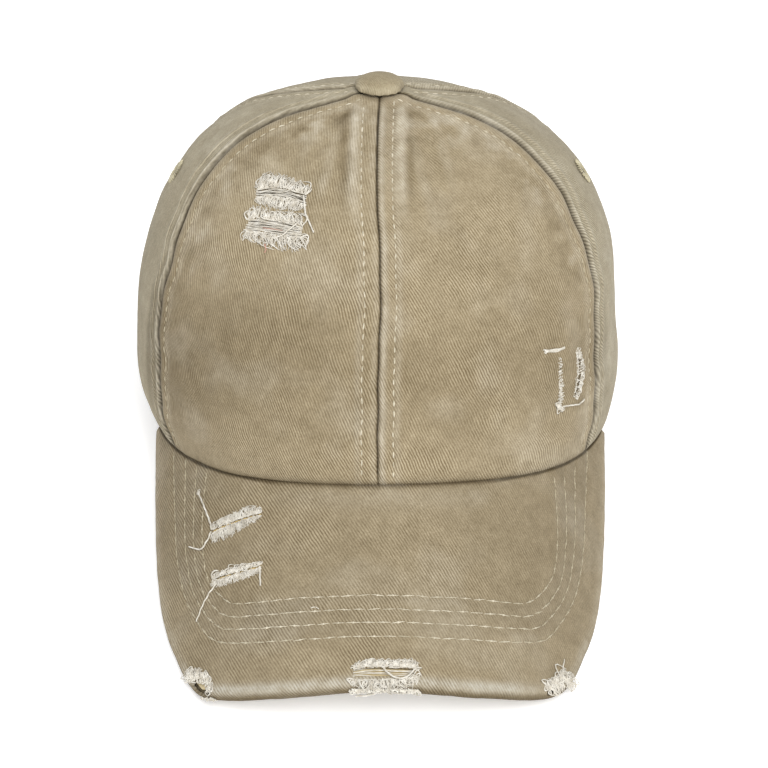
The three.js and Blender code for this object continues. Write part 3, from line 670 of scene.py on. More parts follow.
def seam_radius(turn, inset, level):
    """The radius in the flat plan at which the peak meets a line inset from the crown's wall."""
    def ratio(radius):
        point = plan_point(turn, radius, np.full(np.shape(radius), float(level)))
        share = point[..., 2] / CROWN_HEIGHT
        width = CROWN_HALF_WIDTH * side_share(share) - inset
        reach = CROWN_FRONT_REACH * front_share(share) - inset
        return np.hypot((point[..., 0] - CROWN_HALF_WIDTH * lean_share(share)) / width, point[..., 1] / reach)
    return solve_rising(ratio, np.ones(np.shape(turn)), 20, 140)


def edge_radius(turn):
    return seam_radius(turn, 0, 0) + PEAK_LENGTH * peak_width(np.abs(turn))


# The stitched rows: the innermost and the outermost row's distance in from the edge, by turn.
ROWS_IN = np.array([
    [0, 31.9, 17.6],
    [8, 32.7, 18.3],
    [15, 33.5, 18.7],
    [21, 33.3, 18.8],
    [26, 32.3, 18.5],
    [31, 29.9, 17.3],
    [36, 27.6, 15.6],
    [40, 28.5, 15.2],
    [45, 30.6, 15.1],
    [50, 32.3, 15.0],
    [58, 34.6, 15.3],
    [69, 36.5, 14.8],
    [82, 38.0, 14.5],
])
innermost = smooth_table(ROWS_IN[:, 0], ROWS_IN[:, 1], level_start=True)
outermost = smooth_table(ROWS_IN[:, 0], ROWS_IN[:, 2], level_start=True)
ROW_SHARES = (0, 0.34, 0.66, 1)


def row_inset(turn, share):
    """How far a stitched row lies in from the edge: share 0 is the outermost row and 1 the innermost."""
    turn = np.abs(turn)
    return outermost(turn) + (innermost(turn) - outermost(turn)) * share


# The torn places of the upper cloth, as millimetres across and along from the middle of the seam.
PEAK_TEARS = {
    "slit_upper": [(-59.9, 6.2), (-54.5, 5.7), (-48.4, 5.3), (-40.4, 5.1),
                   (-40.4, 6.1), (-48.4, 6.5), (-54.5, 6.9), (-59.9, 7.5)],
    "slit_lower": [(-59.5, 24.6), (-49.4, 24.4), (-39.9, 24.1), (-39.9, 25.2), (-49.4, 25.7), (-59.5, 26)],
    "edge_middle": [(-8.4, 64.2), (-4.6, 63.5), (11.4, 63.5), (11.6, 66.2),
                    (8, 67.9), (-4.6, 68), (-8.8, 67.4)],
    "edge_left": [(-66, 57.8), (-62, 58), (-59, 60.6), (-58.6, 66), (-62, 70), (-68, 66)],
    "edge_right": [(57, 63.4), (61.4, 61.4), (65.2, 59.4), (68, 62), (64, 70), (57.4, 67)],
}

turns = np.linspace(-PEAK_END_TURN, PEAK_END_TURN, 301)
edges = edge_radius(turns)
starts = seam_radius(turns, PANEL_THICKNESS, 0)
ROLL = 2.0
# Down the roll at the edge, from the flat cloth to where it tucks under.
roll_angles = np.radians(np.arange(12, 91, 13))
roll_profile = [(-ROLL + ROLL * math.sin(a), -ROLL + ROLL * math.cos(a)) for a in roll_angles]
roll_profile += [(0, -2.7), (-0.05, -3.4), (-0.35, -4.0), (-1.1, -4.25)]
flat_rows = 74
radius = np.concatenate([
    np.array([edges + out for out, down in reversed(roll_profile)]),
    np.array([edges - ROLL + (starts - edges + ROLL) * t for t in np.linspace(0, 1, flat_rows)])])
level = np.concatenate([
    np.array([np.full(len(turns), down) for out, down in reversed(roll_profile)]),
    np.zeros((flat_rows, len(turns)))])
radius, level = radius.T, level.T
turn_grid = np.repeat(turns[:, None], radius.shape[1], axis=1)
inset = edges[:, None] - radius
flat_part = smooth_step(inset, 1.5, 3.5)
form = np.zeros(radius.shape)
for share in ROW_SHARES:
    form -= 0.24 * np.exp(-((inset - row_inset(turn_grid, share)) / 0.8) ** 2)
outer_row, inner_row = outermost(np.abs(turn_grid)), innermost(np.abs(turn_grid))
between = (inset - outer_row) / (inner_row - outer_row)
quilted = smooth_step(between, -0.1, 0.1) * (1 - smooth_step(between, 0.9, 1.1))
form += 0.14 * quilted
smooth_places = in_frame(plan_point(turn_grid, radius, level))
from_seam = radius - starts[:, None]
form += flat_part * (0.45 * bump_of_ease(smooth_places, 40, 11) + 0.12 * bump_of_ease(smooth_places, 9, 12))
form += (1 - flat_part) * 0.22 * bump_of_ease(smooth_places, 7, 13)
outward = np.where(inset < ROLL, np.clip((ROLL - inset) / ROLL, 0, 1), 0)
places = in_frame(plan_point(turn_grid, radius + form * outward, level + form * (1 - outward)))
across = radius * np.sin(np.radians(turn_grid))
along = radius * np.cos(np.radians(turn_grid)) - PLAN_CENTRE
uv = np.stack([across, -along + np.minimum(level, 0)], axis=-1)
smudge = smooth_step(bump_of_ease(smooth_places, 24, 15), 0.05, 0.6)
edge_rub = np.exp(-((inset - 2.5) / 1.8) ** 2) * smooth_step(level, -1.4, -0.2)
edge_rub *= np.clip(0.85 + 0.7 * bump_of_ease(smooth_places, 14, 14), 0.3, 1.2)
edge_rub *= 1 - 0.75 * smooth_step(np.abs(turn_grid), 27, 40)
wear = 0.8 * edge_rub + 0.12 * smudge + 0.08 * quilted
wear += 0.12 * np.exp(-((from_seam - 6) / 4) ** 2) * smooth_step(40 - np.abs(turn_grid), 0, 20)
# Painted shade: a line of shadow along the crown's seam, the outer side and the underside of the rolled edge,
# the sides of the peak, and a little over the band of stitched rows.
shade = 0.9 * np.exp(-(np.maximum(from_seam - 1.5, 0) / 0.5) ** 2)
shade += np.where(level > -1.2, 0.55 * (1 - smooth_step(inset, 0.3, 1.7)), 0.7)
shade += 0.17 * smooth_step(np.abs(turn_grid), 18, 48) * smooth_step(inset, 2, 8) + 0.1 * quilted

peak_cloth, column, row = cloth_grid("cloth_peak_top", radius.shape[0] - 1, radius.shape[1] - 1)
lay_cloth(peak_cloth, column, row, places, uv, wear=wear, shade=shade)
cut = np.zeros(radius.shape, bool)
for outline in PEAK_TEARS.values():
    cut |= inside_outline(across, along, outline) & (level > -0.8)
cut_faces(peak_cloth, cut[column, row])
peak_twill = garment_twill("washed cotton twill, peak", "#70624A", "#A3967C", "#B6B2A6",
                           rib_turn=31, rib_space=0.94, smooth_from=0.008)
finish_cloth(peak_cloth, PEAK_CLOTH_THICKNESS, peak_twill, inner_twill)
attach(peak_cloth, "root")
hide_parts("peak_cloth_top")

# The lower cloth is one flat piece under the board, caught at the edge inside the turned-down upper cloth.
under_rows = 40
radius = np.array([edges - 1.35 + (starts - 0.5 - edges + 1.35) * t for t in np.linspace(1, 0, under_rows)]).T
turn_grid = np.repeat(turns[:, None], under_rows, axis=1)
inset = edges[:, None] - radius
form = np.zeros(radius.shape)
for share in ROW_SHARES:
    form += 0.2 * np.exp(-((inset - row_inset(turn_grid, share)) / 0.8) ** 2)
places = in_frame(plan_point(turn_grid, radius, -PEAK_THICKNESS + 0.06 + form))
across = radius * np.sin(np.radians(turn_grid))
along = radius * np.cos(np.radians(turn_grid)) - PLAN_CENTRE
under_cloth, column, row = cloth_grid("cloth_peak_under", radius.shape[0] - 1, under_rows - 1)
lay_cloth(under_cloth, column, row, places, np.stack([-across, -along], axis=-1),
          wear=np.zeros(radius.shape), shade=np.zeros(radius.shape))
finish_cloth(under_cloth, PEAK_CLOTH_THICKNESS, peak_twill)
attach(under_cloth, "root")
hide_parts("peak_cloth_under")

# The board is a sheet of pressed fibre stiffener, cream, matt and slightly layered where its edge shows.
board_finish, tree, shader = new_finish("pressed fibre board, cut edge", roughness=0.85, specular=0.25)
place = add_node(tree, "TexCoord").outputs["Object"]
fibre = add_noise(tree, place, 900, 4, 0.7)
stain = add_noise(tree, place, 140, 2)
layered = add_range(tree, add_math(tree, "MULTIPLY_ADD", fibre, 0.5, stain), 0.5, 1.0)
tree.links.new(mix_colours(tree, layered, "#BCA97F", "#DDD0AE"), shader.inputs["Base Color"])
grain = add_node(tree, "Bump", links={"Height": fibre, "Strength": 0.4, "Distance": 0.0001}).outputs[0]
tree.links.new(grain, shader.inputs["Normal"])
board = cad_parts["peak_board"]
for slot in board.material_slots:
    slot.material = board_finish

# Sweatband: a folded tape of plain twill, sewn inside the rim with one row of stitches along its lower edge.
BAND_HEIGHT = 32
BAND_OFF = -2.1
BAND_THICKNESS = 1.4
BAND_END_TURN = 147
band_turns = np.linspace(-BAND_END_TURN, BAND_END_TURN, 261)
band_low = blend_rim(band_turns, PEAK_END_TURN_ON_CROWN - RIM_BLEND_TURN,
                     share_over_peak(band_turns, BAND_OFF, -PEAK_THICKNESS),
                     share_of_rim(band_turns, BAND_OFF) + 1.5 / CROWN_HEIGHT)
band_rows = 26
rise = np.linspace(0, 1, band_rows)[None, :]
share = band_low[:, None] + rise * BAND_HEIGHT / CROWN_HEIGHT
turn_grid = np.repeat(band_turns[:, None], band_rows, axis=1)
height = rise * BAND_HEIGHT + 0 * turn_grid
off = (BAND_OFF - BAND_THICKNESS
       - 0.3 * np.exp(-((height - BAND_HEIGHT + 1.5) / 1.5) ** 2)
       + 0.35 * np.exp(-((height - 4) / 0.8) ** 2)
       + 0.3 * np.exp(-(height / 0.9) ** 2) + 0.4 * np.exp(-((height - BAND_HEIGHT) / 0.6) ** 2))
smooth_places = in_frame(crown_surface(turn_grid, share))
off = off - 0.25 - 0.35 * bump_of_ease(smooth_places, 22, 21)
places = in_frame(crown_point(turn_grid, share, off))
arc = run_along(crown_surface(band_turns, 0.15))
# The inner face looks at the head, so the grid runs the other way round.
band, column, row = cloth_grid("cloth_sweatband", len(band_turns) - 1, band_rows - 1)
uv = np.stack([-arc[:, None] + 0 * height, height], axis=-1)
lay_cloth(band, column, row, places[::-1], uv[::-1], wear=0 * height, shade=0 * height)
band_twill = garment_twill("cotton twill tape, sweatband", "#7F7562", "#AEA38C", "#C6BEAC", rib_turn=45)
finish_cloth(band, BAND_THICKNESS - 0.1, band_twill)
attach(band, "root")
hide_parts("sweatband")

# Binding of the back opening: a folded tape of the same twill that wraps the cut edge.
# One stitched row holds it.
BINDING_WIDTH = 7.0


def beside_opening(angle, beside, off):
    """A point beside the edge of the back opening, measured in the cloth away from the hole."""
    angle, beside, off = np.broadcast_arrays(*(np.asarray(v, float) for v in (angle, beside, off)))
    normal = np.stack([np.cos(angle) / OPENING_HALF_WIDTH, np.sin(angle) / OPENING_HEIGHT], axis=-1)
    normal /= np.linalg.norm(normal, axis=-1, keepdims=True)
    x = OPENING_HALF_WIDTH * np.cos(angle) + normal[..., 0] * beside
    share = (OPENING_HEIGHT * np.sin(angle) + normal[..., 1] * beside) / CROWN_HEIGHT
    across = (x / CROWN_HALF_WIDTH - lean_share(share)) / side_share(share)
    return 180 - np.degrees(np.arcsin(np.clip(across, -1, 1))), share, off


angles = np.linspace(0.03, math.pi - 0.03, 181)
section = [(BINDING_WIDTH, 0.2), (BINDING_WIDTH - 0.15, 0.75), (BINDING_WIDTH - 0.6, 1.05)]
section += [(b, 1.1) for b in np.linspace(6, 0.2, 12)]
fold = np.radians(np.arange(100, 281, 22.5))
section += [(-0.1 + 1.15 * math.cos(a), -0.75 + 1.9 * math.sin(a)) for a in fold]
section += [(b, -2.65) for b in np.linspace(0.6, 6, 9)]
section += [(BINDING_WIDTH - 0.5, -2.6), (BINDING_WIDTH, -2.2)]
beside = np.array([s[0] for s in section])
off = np.array([s[1] for s in section])
off = off - 0.3 * np.exp(-((beside - 5.3) / 0.6) ** 2) * np.sign(off + 0.75)
turn_grid, share, off_grid = beside_opening(angles[:, None], beside[None, :], off[None, :])
places = in_frame(crown_point(turn_grid, share, off_grid))
run = run_along(places[:, 8]) / MM
width = run_along(places[90]) / MM
binding, column, row = cloth_grid("cloth_opening_binding", len(angles) - 1, len(section) - 1)
uv = np.stack([run[:, None] + 0 * off_grid, width[None, :] + 0 * off_grid], axis=-1)
rub = np.exp(-((beside + 0.6) / 1.0) ** 2)[None, :] + 0 * off_grid
lay_cloth(binding, column, row, places, uv, wear=0.7 * rub, shade=0 * off_grid)
tape_twill = garment_twill("cotton twill tape, opening", "#7D7461", "#ACA38E", "#CBC5B5", rib_turn=45)
finish_cloth(binding, 0.75, tape_twill)
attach(binding, "root")
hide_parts("opening_binding")

# Closure strap: a doubled strip of the same twill across the foot of the opening, sewn on at both ends.
STRAP_HEIGHT = 20
STRAP_THICKNESS = 2.0
STRAP_OFF = 1.5
strap_half_turn = math.degrees(math.asin(53 / (CROWN_HALF_WIDTH * float(side_share(0)))))
strap_turns = np.linspace(180 - strap_half_turn, 180 + strap_half_turn, 121)
low = share_of_rim(strap_turns, STRAP_OFF)
strap_rows = 25
rise = np.linspace(0, 1, strap_rows)[None, :]
share = low[:, None] + rise * STRAP_HEIGHT / CROWN_HEIGHT
turn_grid = np.repeat(strap_turns[:, None], strap_rows, axis=1)
height = rise * STRAP_HEIGHT + 0 * turn_grid
run = run_along(crown_surface(strap_turns, 0.08))
from_end = np.minimum(run, run[-1] - run)[:, None] + 0 * height
from_side = np.minimum(height, STRAP_HEIGHT - height)
off = (STRAP_OFF + STRAP_THICKNESS
       - 0.9 * np.exp(-(from_side / 0.55) ** 2) - 0.9 * np.exp(-(from_end / 0.55) ** 2)
       - 0.25 * np.exp(-((from_side - 2.6) / 0.6) ** 2))
smooth_places = in_frame(crown_surface(turn_grid, share))
off = off + 0.18 * bump_of_ease(smooth_places, 14, 31) - 1.2 * smooth_step(9 - from_end, 0, 7)
places = in_frame(crown_point(turn_grid, share, off))
strap, column, row = cloth_grid("cloth_closure_strap", len(strap_turns) - 1, strap_rows - 1)
uv = np.stack([run[:, None] + 0 * height, height], axis=-1)
wear = 0.6 * np.exp(-((from_side - 0.6) / 0.8) ** 2) + 0.5 * np.exp(-((from_end - 0.6) / 0.8) ** 2)
lay_cloth(strap, column, row, places, uv, wear=wear, shade=0 * height)
finish_cloth(strap, STRAP_THICKNESS - 0.1, tape_twill)
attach(strap, "root")
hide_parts("closure_strap")

# Top button: a pressed metal shell covered with the same twill, its cloth gathered in small pleats under the
# edge.
BUTTON_RADIUS = 8.4
BUTTON_HEIGHT = 5.2
top = (crown_surface(180, 1) + crown_surface(0, 1)) / 2
bpy.ops.object.select_all(action="DESELECT")
bpy.ops.mesh.primitive_uv_sphere_add(segments=72, ring_count=36, radius=1)
button = bpy.context.object
button.name = "cloth_button"
flat = np.empty(len(button.data.vertices) * 3)
button.data.vertices.foreach_get("co", flat)
flat = flat.reshape(-1, 3)
around = np.arctan2(flat[:, 1], flat[:, 0])
out = np.hypot(flat[:, 0], flat[:, 1])
# The dome is full over its upper half and drawn in flat beneath, where the pleats run together.
pleats = smooth_step(out, 0.7, 1.0) * (0.018 * np.sin(7 * around + 0.6) + 0.01 * np.sin(13 * around + 2.1))
lower = flat[:, 2] < 0
height = np.where(lower, flat[:, 2] * 1.4, np.abs(flat[:, 2]) ** 0.85 * (BUTTON_HEIGHT - 1.4))
spread = np.maximum(out, 1e-9)
reach = BUTTON_RADIUS * (out ** 0.96) * (1 + pleats)
shape = np.stack([flat[:, 0] / spread * reach, flat[:, 1] / spread * reach, height + 1.4], axis=-1)
gather = np.exp(-((around + 0.9) / 0.75) ** 2) * smooth_step(out, 0.62, 0.9)
shape[:, 2] -= 0.35 * gather * np.sin(9 * around) ** 2
# The button's lower half gets painted shade.
lay_points(button, in_frame(shape + top + np.array([0, 0, CLEARANCE])), shape[:, :2],
           wear=0.2 * smooth_step(out, 0.75, 0.95) * (1 - lower), shade=0.25 * lower)
bpy.ops.object.shade_smooth()
button_twill = garment_twill("washed cotton twill, button", "#7C7058", "#A79B7F", "#C3BAA4", rib_space=0.6)
button.data.materials.append(button_twill)
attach(button, "root")
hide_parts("button")


# Thread: three-ply cotton sewing thread, matt and slightly hairy. Each stitch of it sinks at both ends into
# the cloth, so it is modelled once as a short arched bead and copied along every row.
def yarn_finish(name, dark, light, scale, detail=2, mixed=(0, 1), grain=0.5, **surface):
    """Cotton yarn of an uneven tint, which runs from dark to light over the mixed range of a noise."""
    material, tree, shader = new_finish(name, **surface)
    place = add_node(tree, "TexCoord").outputs["Object"]
    tint = add_range(tree, add_noise(tree, place, scale, detail, grain), *mixed)
    tree.links.new(mix_colours(tree, tint, dark, light), shader.inputs["Base Color"])
    return material


thread_finish = yarn_finish("spun cotton thread", "#A39981", "#D2CAB6", 260, 3, mixed=(0.3, 0.7), grain=0.6,
                            roughness=0.8, specular=0.3, sheen=0.25)
tree = thread_finish.node_tree
shader = tree.nodes["Principled BSDF"]
place = add_node(tree, "TexCoord").outputs["Object"]
# Towards the cap's sides the thread is darkened with painted shade, as the peak's sides are.
sideways = add_node(tree, "SeparateXYZ", links={"Vector": place}).outputs["X"]
painted_shade_mix = add_range(tree, add_math(tree, "ABSOLUTE", sideways), 0.035, 0.062, high=0.7)
undyed = shader.inputs["Base Color"].links[0].from_socket
tree.links.new(mix_colours(tree, painted_shade_mix, undyed, "#978C71"), shader.inputs["Base Color"])
ply = add_noise(tree, place, 2600, 2, 0.6)
twist = add_node(tree, "Bump", links={"Height": ply, "Strength": 0.5, "Distance": 0.0001}).outputs[0]
tree.links.new(twist, shader.inputs["Normal"])


def stitch_bead(length, width, flatness=2):
    """One stitch along X, with Z out of the cloth. A flatter one sinks at its ends only."""
    bpy.ops.object.select_all(action="DESELECT")
    bpy.ops.mesh.primitive_uv_sphere_add(segments=6, ring_count=8, radius=1, rotation=(0, math.pi / 2, 0))
    bead = bpy.context.object
    bpy.ops.object.transform_apply(location=False, rotation=True, scale=False)
    for vertex in bead.data.vertices:
        x, y, z = vertex.co
        height = z * width * 0.42 - 0.34 * abs(x) ** flatness
        vertex.co = (x * length / 2 * MM, y * width / 2 * MM, height * MM)
    return bead


def cloth_faces(*pieces):
    """The faces of finished pieces of cloth, for finding where thread lies on them."""
    places, faces = [], []
    for piece in pieces:
        first = len(places)
        places += [vertex.co.copy() for vertex in piece.data.vertices]
        faces += [[first + v for v in face.vertices] for face in piece.data.polygons]
    return BVHTree.FromPolygons(places, faces)


SEWN_ABOVE = 0.1


def frames_along(cloth, points, normals, pitch, start=0.0):
    """Matrices at even steps of a line on the cloth, with X along the line and Z out of the cloth."""
    points, normals = np.asarray(points), np.asarray(normals)
    length = run_along(points)
    frames = []
    for at in np.arange(start * MM, length[-1], pitch * MM):
        here = Vector([np.interp(at, length, points[:, k]) for k in range(3)])
        ahead = np.array([np.interp(min(at + 0.4 * MM, length[-1]), length, points[:, k]) for k in range(3)])
        behind = np.array([np.interp(max(at - 0.4 * MM, 0), length, points[:, k]) for k in range(3)])
        normal = Vector([np.interp(at, length, normals[:, k]) for k in range(3)]).normalized()
        hit, facing, _, _ = cloth.ray_cast(here + 3 * MM * normal, -normal, 6 * MM)
        if hit is None:
            continue
        normal = (normal + facing).normalized()
        x = Vector(ahead - behind).normalized()
        y = normal.cross(x).normalized()
        x = y.cross(normal)
        frames.append(Matrix((x, y, normal)).transposed().to_4x4())
        frames[-1].translation = hit + SEWN_ABOVE * MM * normal
    return frames


def thread_piece(name, copies, material):
    """Copied stitches as one piece."""
    mesh = bpy.data.meshes.new(name)
    copies.to_mesh(mesh)
    copies.free()
    for face in mesh.polygons:
        face.use_smooth = True
    mesh.materials.append(material)
    piece = bpy.data.objects.new(name, mesh)
    bpy.context.scene.collection.objects.link(piece)
    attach(piece, "root")
    return piece


def sew_row(name, bead, cloth, lines, pitch=3.5, seed=1):
    """Copies one stitch along lines of points and normals, slightly uneven as a sewn row is."""
    chance = random.Random(seed)
    row_mesh = bmesh.new()
    for points, normals in lines:
        for place in frames_along(cloth, points, normals, pitch, start=chance.uniform(1, 3)):
            uneven = Matrix.Rotation(chance.gauss(0, 0.06), 4, "Z") @ Matrix.Diagonal(
                (chance.uniform(0.86, 1.1), chance.uniform(0.85, 1.15), 1, 1))
            copy = bead.data.copy()
            copy.transform(place @ uneven)
            row_mesh.from_mesh(copy)
            bpy.data.meshes.remove(copy)
    return thread_piece(name, row_mesh, thread_finish)


def seam_line(seam, side, distance, top_gap=10.5):
    """A line beside a crown seam, from the rim up to the button."""
    edge = seam_turn(*seam)
    rim = float(rim_share(np.array([float(seam[0])]))[0])
    share = 1 - (1 - rim) * (1 - np.linspace(0.02, 1, 400)) ** 1.5
    turn = edge(share)
    per_degree = np.linalg.norm(crown_surface(turn + 0.5, share) - crown_surface(turn - 0.5, share), axis=-1)
    turn = turn + side * distance / per_degree
    keep = np.linalg.norm(crown_surface(turn, share) - top, axis=-1) > top_gap
    turn, share = turn[keep], share[keep]
    return in_frame(crown_surface(turn, share)), turned_in_frame(crown_normal(turn, share))


seam_stitch = stitch_bead(2.5, 0.5)
crown_cloth = cloth_faces(*(panel[0] for panel in panels.values()))
seam_rows = {
    "stitches_centre_front": [(CENTRE_FRONT, -1), (CENTRE_FRONT, 1)],
    "stitches_front_left": [(FRONT_SEAM_LEFT, 1)],
    "stitches_front_right": [(FRONT_SEAM_RIGHT, -1)],
    "stitches_back_left": [(BACK_SEAM_LEFT, 1), (BACK_SEAM_LEFT, -1)],
    "stitches_back_right": [(BACK_SEAM_RIGHT, -1), (BACK_SEAM_RIGHT, 1)],
}
panel_stitches = {}
for number, (name, sides) in enumerate(seam_rows.items()):
    lines = [seam_line(seam, side, SEAM_STITCH) for seam, side in sides]
    panel_stitches[name] = sew_row(name, seam_stitch, crown_cloth, lines, seed=40 + number)

# Above the back opening the centre seam is sewn as the others are, down to the binding.
lines = []
for side in (-1, 1):
    points, normals = seam_line(CENTRE_BACK_RIGHT, side, SEAM_STITCH)
    above = (points - in_frame(crown_surface(180, (OPENING_HEIGHT + BINDING_WIDTH) / CROWN_HEIGHT)))[:, 2] > 0
    lines.append((points[above], normals[above]))
centre_back_row = sew_row("stitches_centre_back", seam_stitch, crown_cloth, lines, seed=51)

# The peak's rows are sewn with a finer thread that lies almost unbroken.
# It has a small lump at each needle hole.
peak_stitch = stitch_bead(4.8, 0.34, flatness=10)
needle_lump = stitch_bead(1.1, 0.72)
row_turns = np.linspace(-PEAK_END_TURN + 1, PEAK_END_TURN - 1, 500)
row_edges = edge_radius(row_turns)
row_seams = seam_radius(row_turns, 0, 0)
lines = []
for share in ROW_SHARES:
    row_radius = row_edges - row_inset(row_turns, share)
    keep = row_radius > row_seams + 0.8
    points = plan_point(row_turns[keep], row_radius[keep], np.zeros(keep.sum()))
    above = plan_point(row_turns[keep], row_radius[keep], np.ones(keep.sum()))
    lines.append((in_frame(points), turned_in_frame(above - points)))
peak_faces = cloth_faces(peak_cloth)
peak_rows = sew_row("stitches_peak", peak_stitch, peak_faces, lines, pitch=4.8, seed=60)
peak_lumps = sew_row("stitch_ends_peak", needle_lump, peak_faces, lines, pitch=4.8, seed=60)

line_angles = np.linspace(0.06, math.pi - 0.06, 300)
turn, share, off = beside_opening(line_angles, 5.3, 0.9)
lines = [(in_frame(crown_point(turn, share, off)), turned_in_frame(crown_normal(turn, share)))]
binding_row = sew_row("stitches_opening_binding", seam_stitch, cloth_faces(binding), lines,
                      pitch=3.6, seed=61)

lines = []
for height in (2.6, STRAP_HEIGHT - 2.6):
    share = share_of_rim(strap_turns, STRAP_OFF) + height / CROWN_HEIGHT
    off = np.full(len(strap_turns), STRAP_OFF + STRAP_THICKNESS - 0.2)
    points = in_frame(crown_point(strap_turns, share, off))
    normals = turned_in_frame(crown_normal(strap_turns, share))
    lines.append((points[3:-3], normals[3:-3]))
strap_row = sew_row("stitches_closure_strap", seam_stitch, cloth_faces(strap), lines, pitch=3.8, seed=62)

share = band_low + 4 / CROWN_HEIGHT
off = np.full(len(band_turns), BAND_OFF - BAND_THICKNESS - 0.02)
lines = [(in_frame(crown_point(band_turns, share, off)), -turned_in_frame(crown_normal(band_turns, share)))]
band_row = sew_row("stitches_sweatband", seam_stitch, cloth_faces(band), lines, pitch=4, seed=63)

# Eyelets: a hole in each side panel, sewn round with close stitches of yellowish thread.
eyelet_thread = yarn_finish("mercerised cotton thread, eyelets", "#9C9374", "#C6BD9E", 420, mixed=(0.3, 0.7),
                            roughness=0.7, sheen=0.3)
eyelet_bead = stitch_bead(3.4, 0.6)
EYELET_STITCHES = 34
for side, name in ((-1, "left"), (1, "right")):
    centre = in_frame(crown_surface(side * EYELET_TURN, EYELET_SHARE))
    normal = Vector(turned_in_frame(crown_normal(side * EYELET_TURN, EYELET_SHARE)))
    level_way = Vector((0, 0, 1)).cross(normal).normalized()
    up_way = normal.cross(level_way)
    chance = random.Random(70 + side)
    ring = bmesh.new()
    for number in range(EYELET_STITCHES):
        angle = 2 * math.pi * (number + chance.uniform(-0.25, 0.25)) / EYELET_STITCHES
        outward = level_way * math.cos(angle) + up_way * math.sin(angle)
        sideways = normal.cross(outward)
        reach = EYELET_HOLE + 1.35 + chance.uniform(-0.15, 0.15)
        place = Matrix((outward, sideways, normal)).transposed().to_4x4()
        place.translation = Vector(centre) + outward * reach * MM + normal * 0.5 * MM
        copy = eyelet_bead.data.copy()
        copy.transform(place @ Matrix.Diagonal((0.9, 1, 1.3, 1)))
        ring.from_mesh(copy)
        bpy.data.meshes.remove(copy)
    eyelet = thread_piece("thread_eyelet_" + name, ring, eyelet_thread)
    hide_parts("eyelet_" + name)

for bead in (seam_stitch, peak_stitch, needle_lump, eyelet_bead):
    bpy.data.objects.remove(bead)

# Torn places: where the warp has been cut and washed, the undyed weft is left as level strands across the
# hole, and the cut ends stand round it as a soft, off-white fringe. A few longer strands have pulled free.
frayed_finish = yarn_finish("frayed undyed cotton yarn", "#B3AB9B", "#DFDBD1", 520, 3, mixed=(0.3, 0.68),
                            grain=0.6, roughness=0.9, specular=0.15, sheen=0.4)


def crown_patch(turn, share):
    """Places a point given in millimetres to the right of, above and off a point of the crown."""
    near = near_point(turn, share)
    return lambda x, y, off: in_frame(crown_point(*near(x, y), off))


def peak_patch(x, y, off):
    """Places a point given in millimetres across, back towards the crown and off the peak's top."""
    return in_frame(peak_surface(x, -np.asarray(y, float), off))


def strand_piece(name, strands, material=None):
    """Strands of yarn as one piece. A strand is its points, its radius and how thin its end is."""
    curve = bpy.data.curves.new(name, "CURVE")
    curve.dimensions = "3D"
    curve.bevel_depth = 1.0
    curve.bevel_resolution = 0
    curve.use_fill_caps = True
    for points, radius, end in strands:
        spline = curve.splines.new("POLY")
        spline.points.add(len(points) - 1)
        t = np.linspace(0, 1, len(points))
        spline.points.foreach_set("co", np.column_stack([points, np.ones(len(points))]).ravel())
        spline.points.foreach_set("radius", radius * MM * (1 + (end - 1) * t * t))
    piece = bpy.data.objects.new(name, curve)
    bpy.context.scene.collection.objects.link(piece)
    bpy.ops.object.select_all(action="DESELECT")
    piece.select_set(True)
    bpy.context.view_layer.objects.active = piece
    bpy.ops.object.convert(target="MESH")
    piece = bpy.context.object
    piece.data.materials.clear()
    piece.data.materials.append(material or frayed_finish)
    bpy.ops.object.shade_smooth()
    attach(piece, "root")
    return piece


def along_line(line, share):
    """Points at shares of the length of a line that is given by a few corners."""
    line = np.asarray(line, float)
    run = run_along(line)
    return np.stack([np.interp(np.asarray(share) * run[-1], run, line[:, k]) for k in (0, 1)], axis=-1)


def line_length(line):
    return np.linalg.norm(np.diff(np.asarray(line, float), axis=0), axis=-1).sum()


def shifted(line, x, y):
    return [(a + x, b + y) for a, b in line]


def fringe(place, base, tips, seed, per_mm=5, rise=0.9, stray=0.06, bow=0.35, radius=0.25, shortest=0.45):
    """Cut yarn ends that stand between a base line and the line of their tips, in the patch's millimetres."""
    chance = np.random.default_rng(seed)
    count = int(line_length(base) * per_mm)
    at = chance.uniform(0, 1, count)
    start = along_line(base, at) + chance.normal(0, 0.15, (count, 2))
    way = along_line(tips, np.clip(at + chance.normal(0, stray, count), 0, 1)) - start
    way *= chance.uniform(shortest, 1.12, (count, 1))
    side = np.stack([-way[:, 1], way[:, 0]], axis=-1) * chance.normal(0, bow, (count, 1))
    t = np.linspace(0, 1, 7)
    flat = start[:, None] + way[:, None] * t[:, None] + side[:, None] * np.sin(math.pi * t)[:, None]
    off = -0.2 + 1.25 * rise * chance.uniform(0.2, 1.15, (count, 1)) * np.sin(math.pi * (0.1 + 0.8 * t))
    places = place(flat[..., 0], flat[..., 1], off)
    return [(points, radius * chance.uniform(0.7, 1.2), 0.35) for points in places]


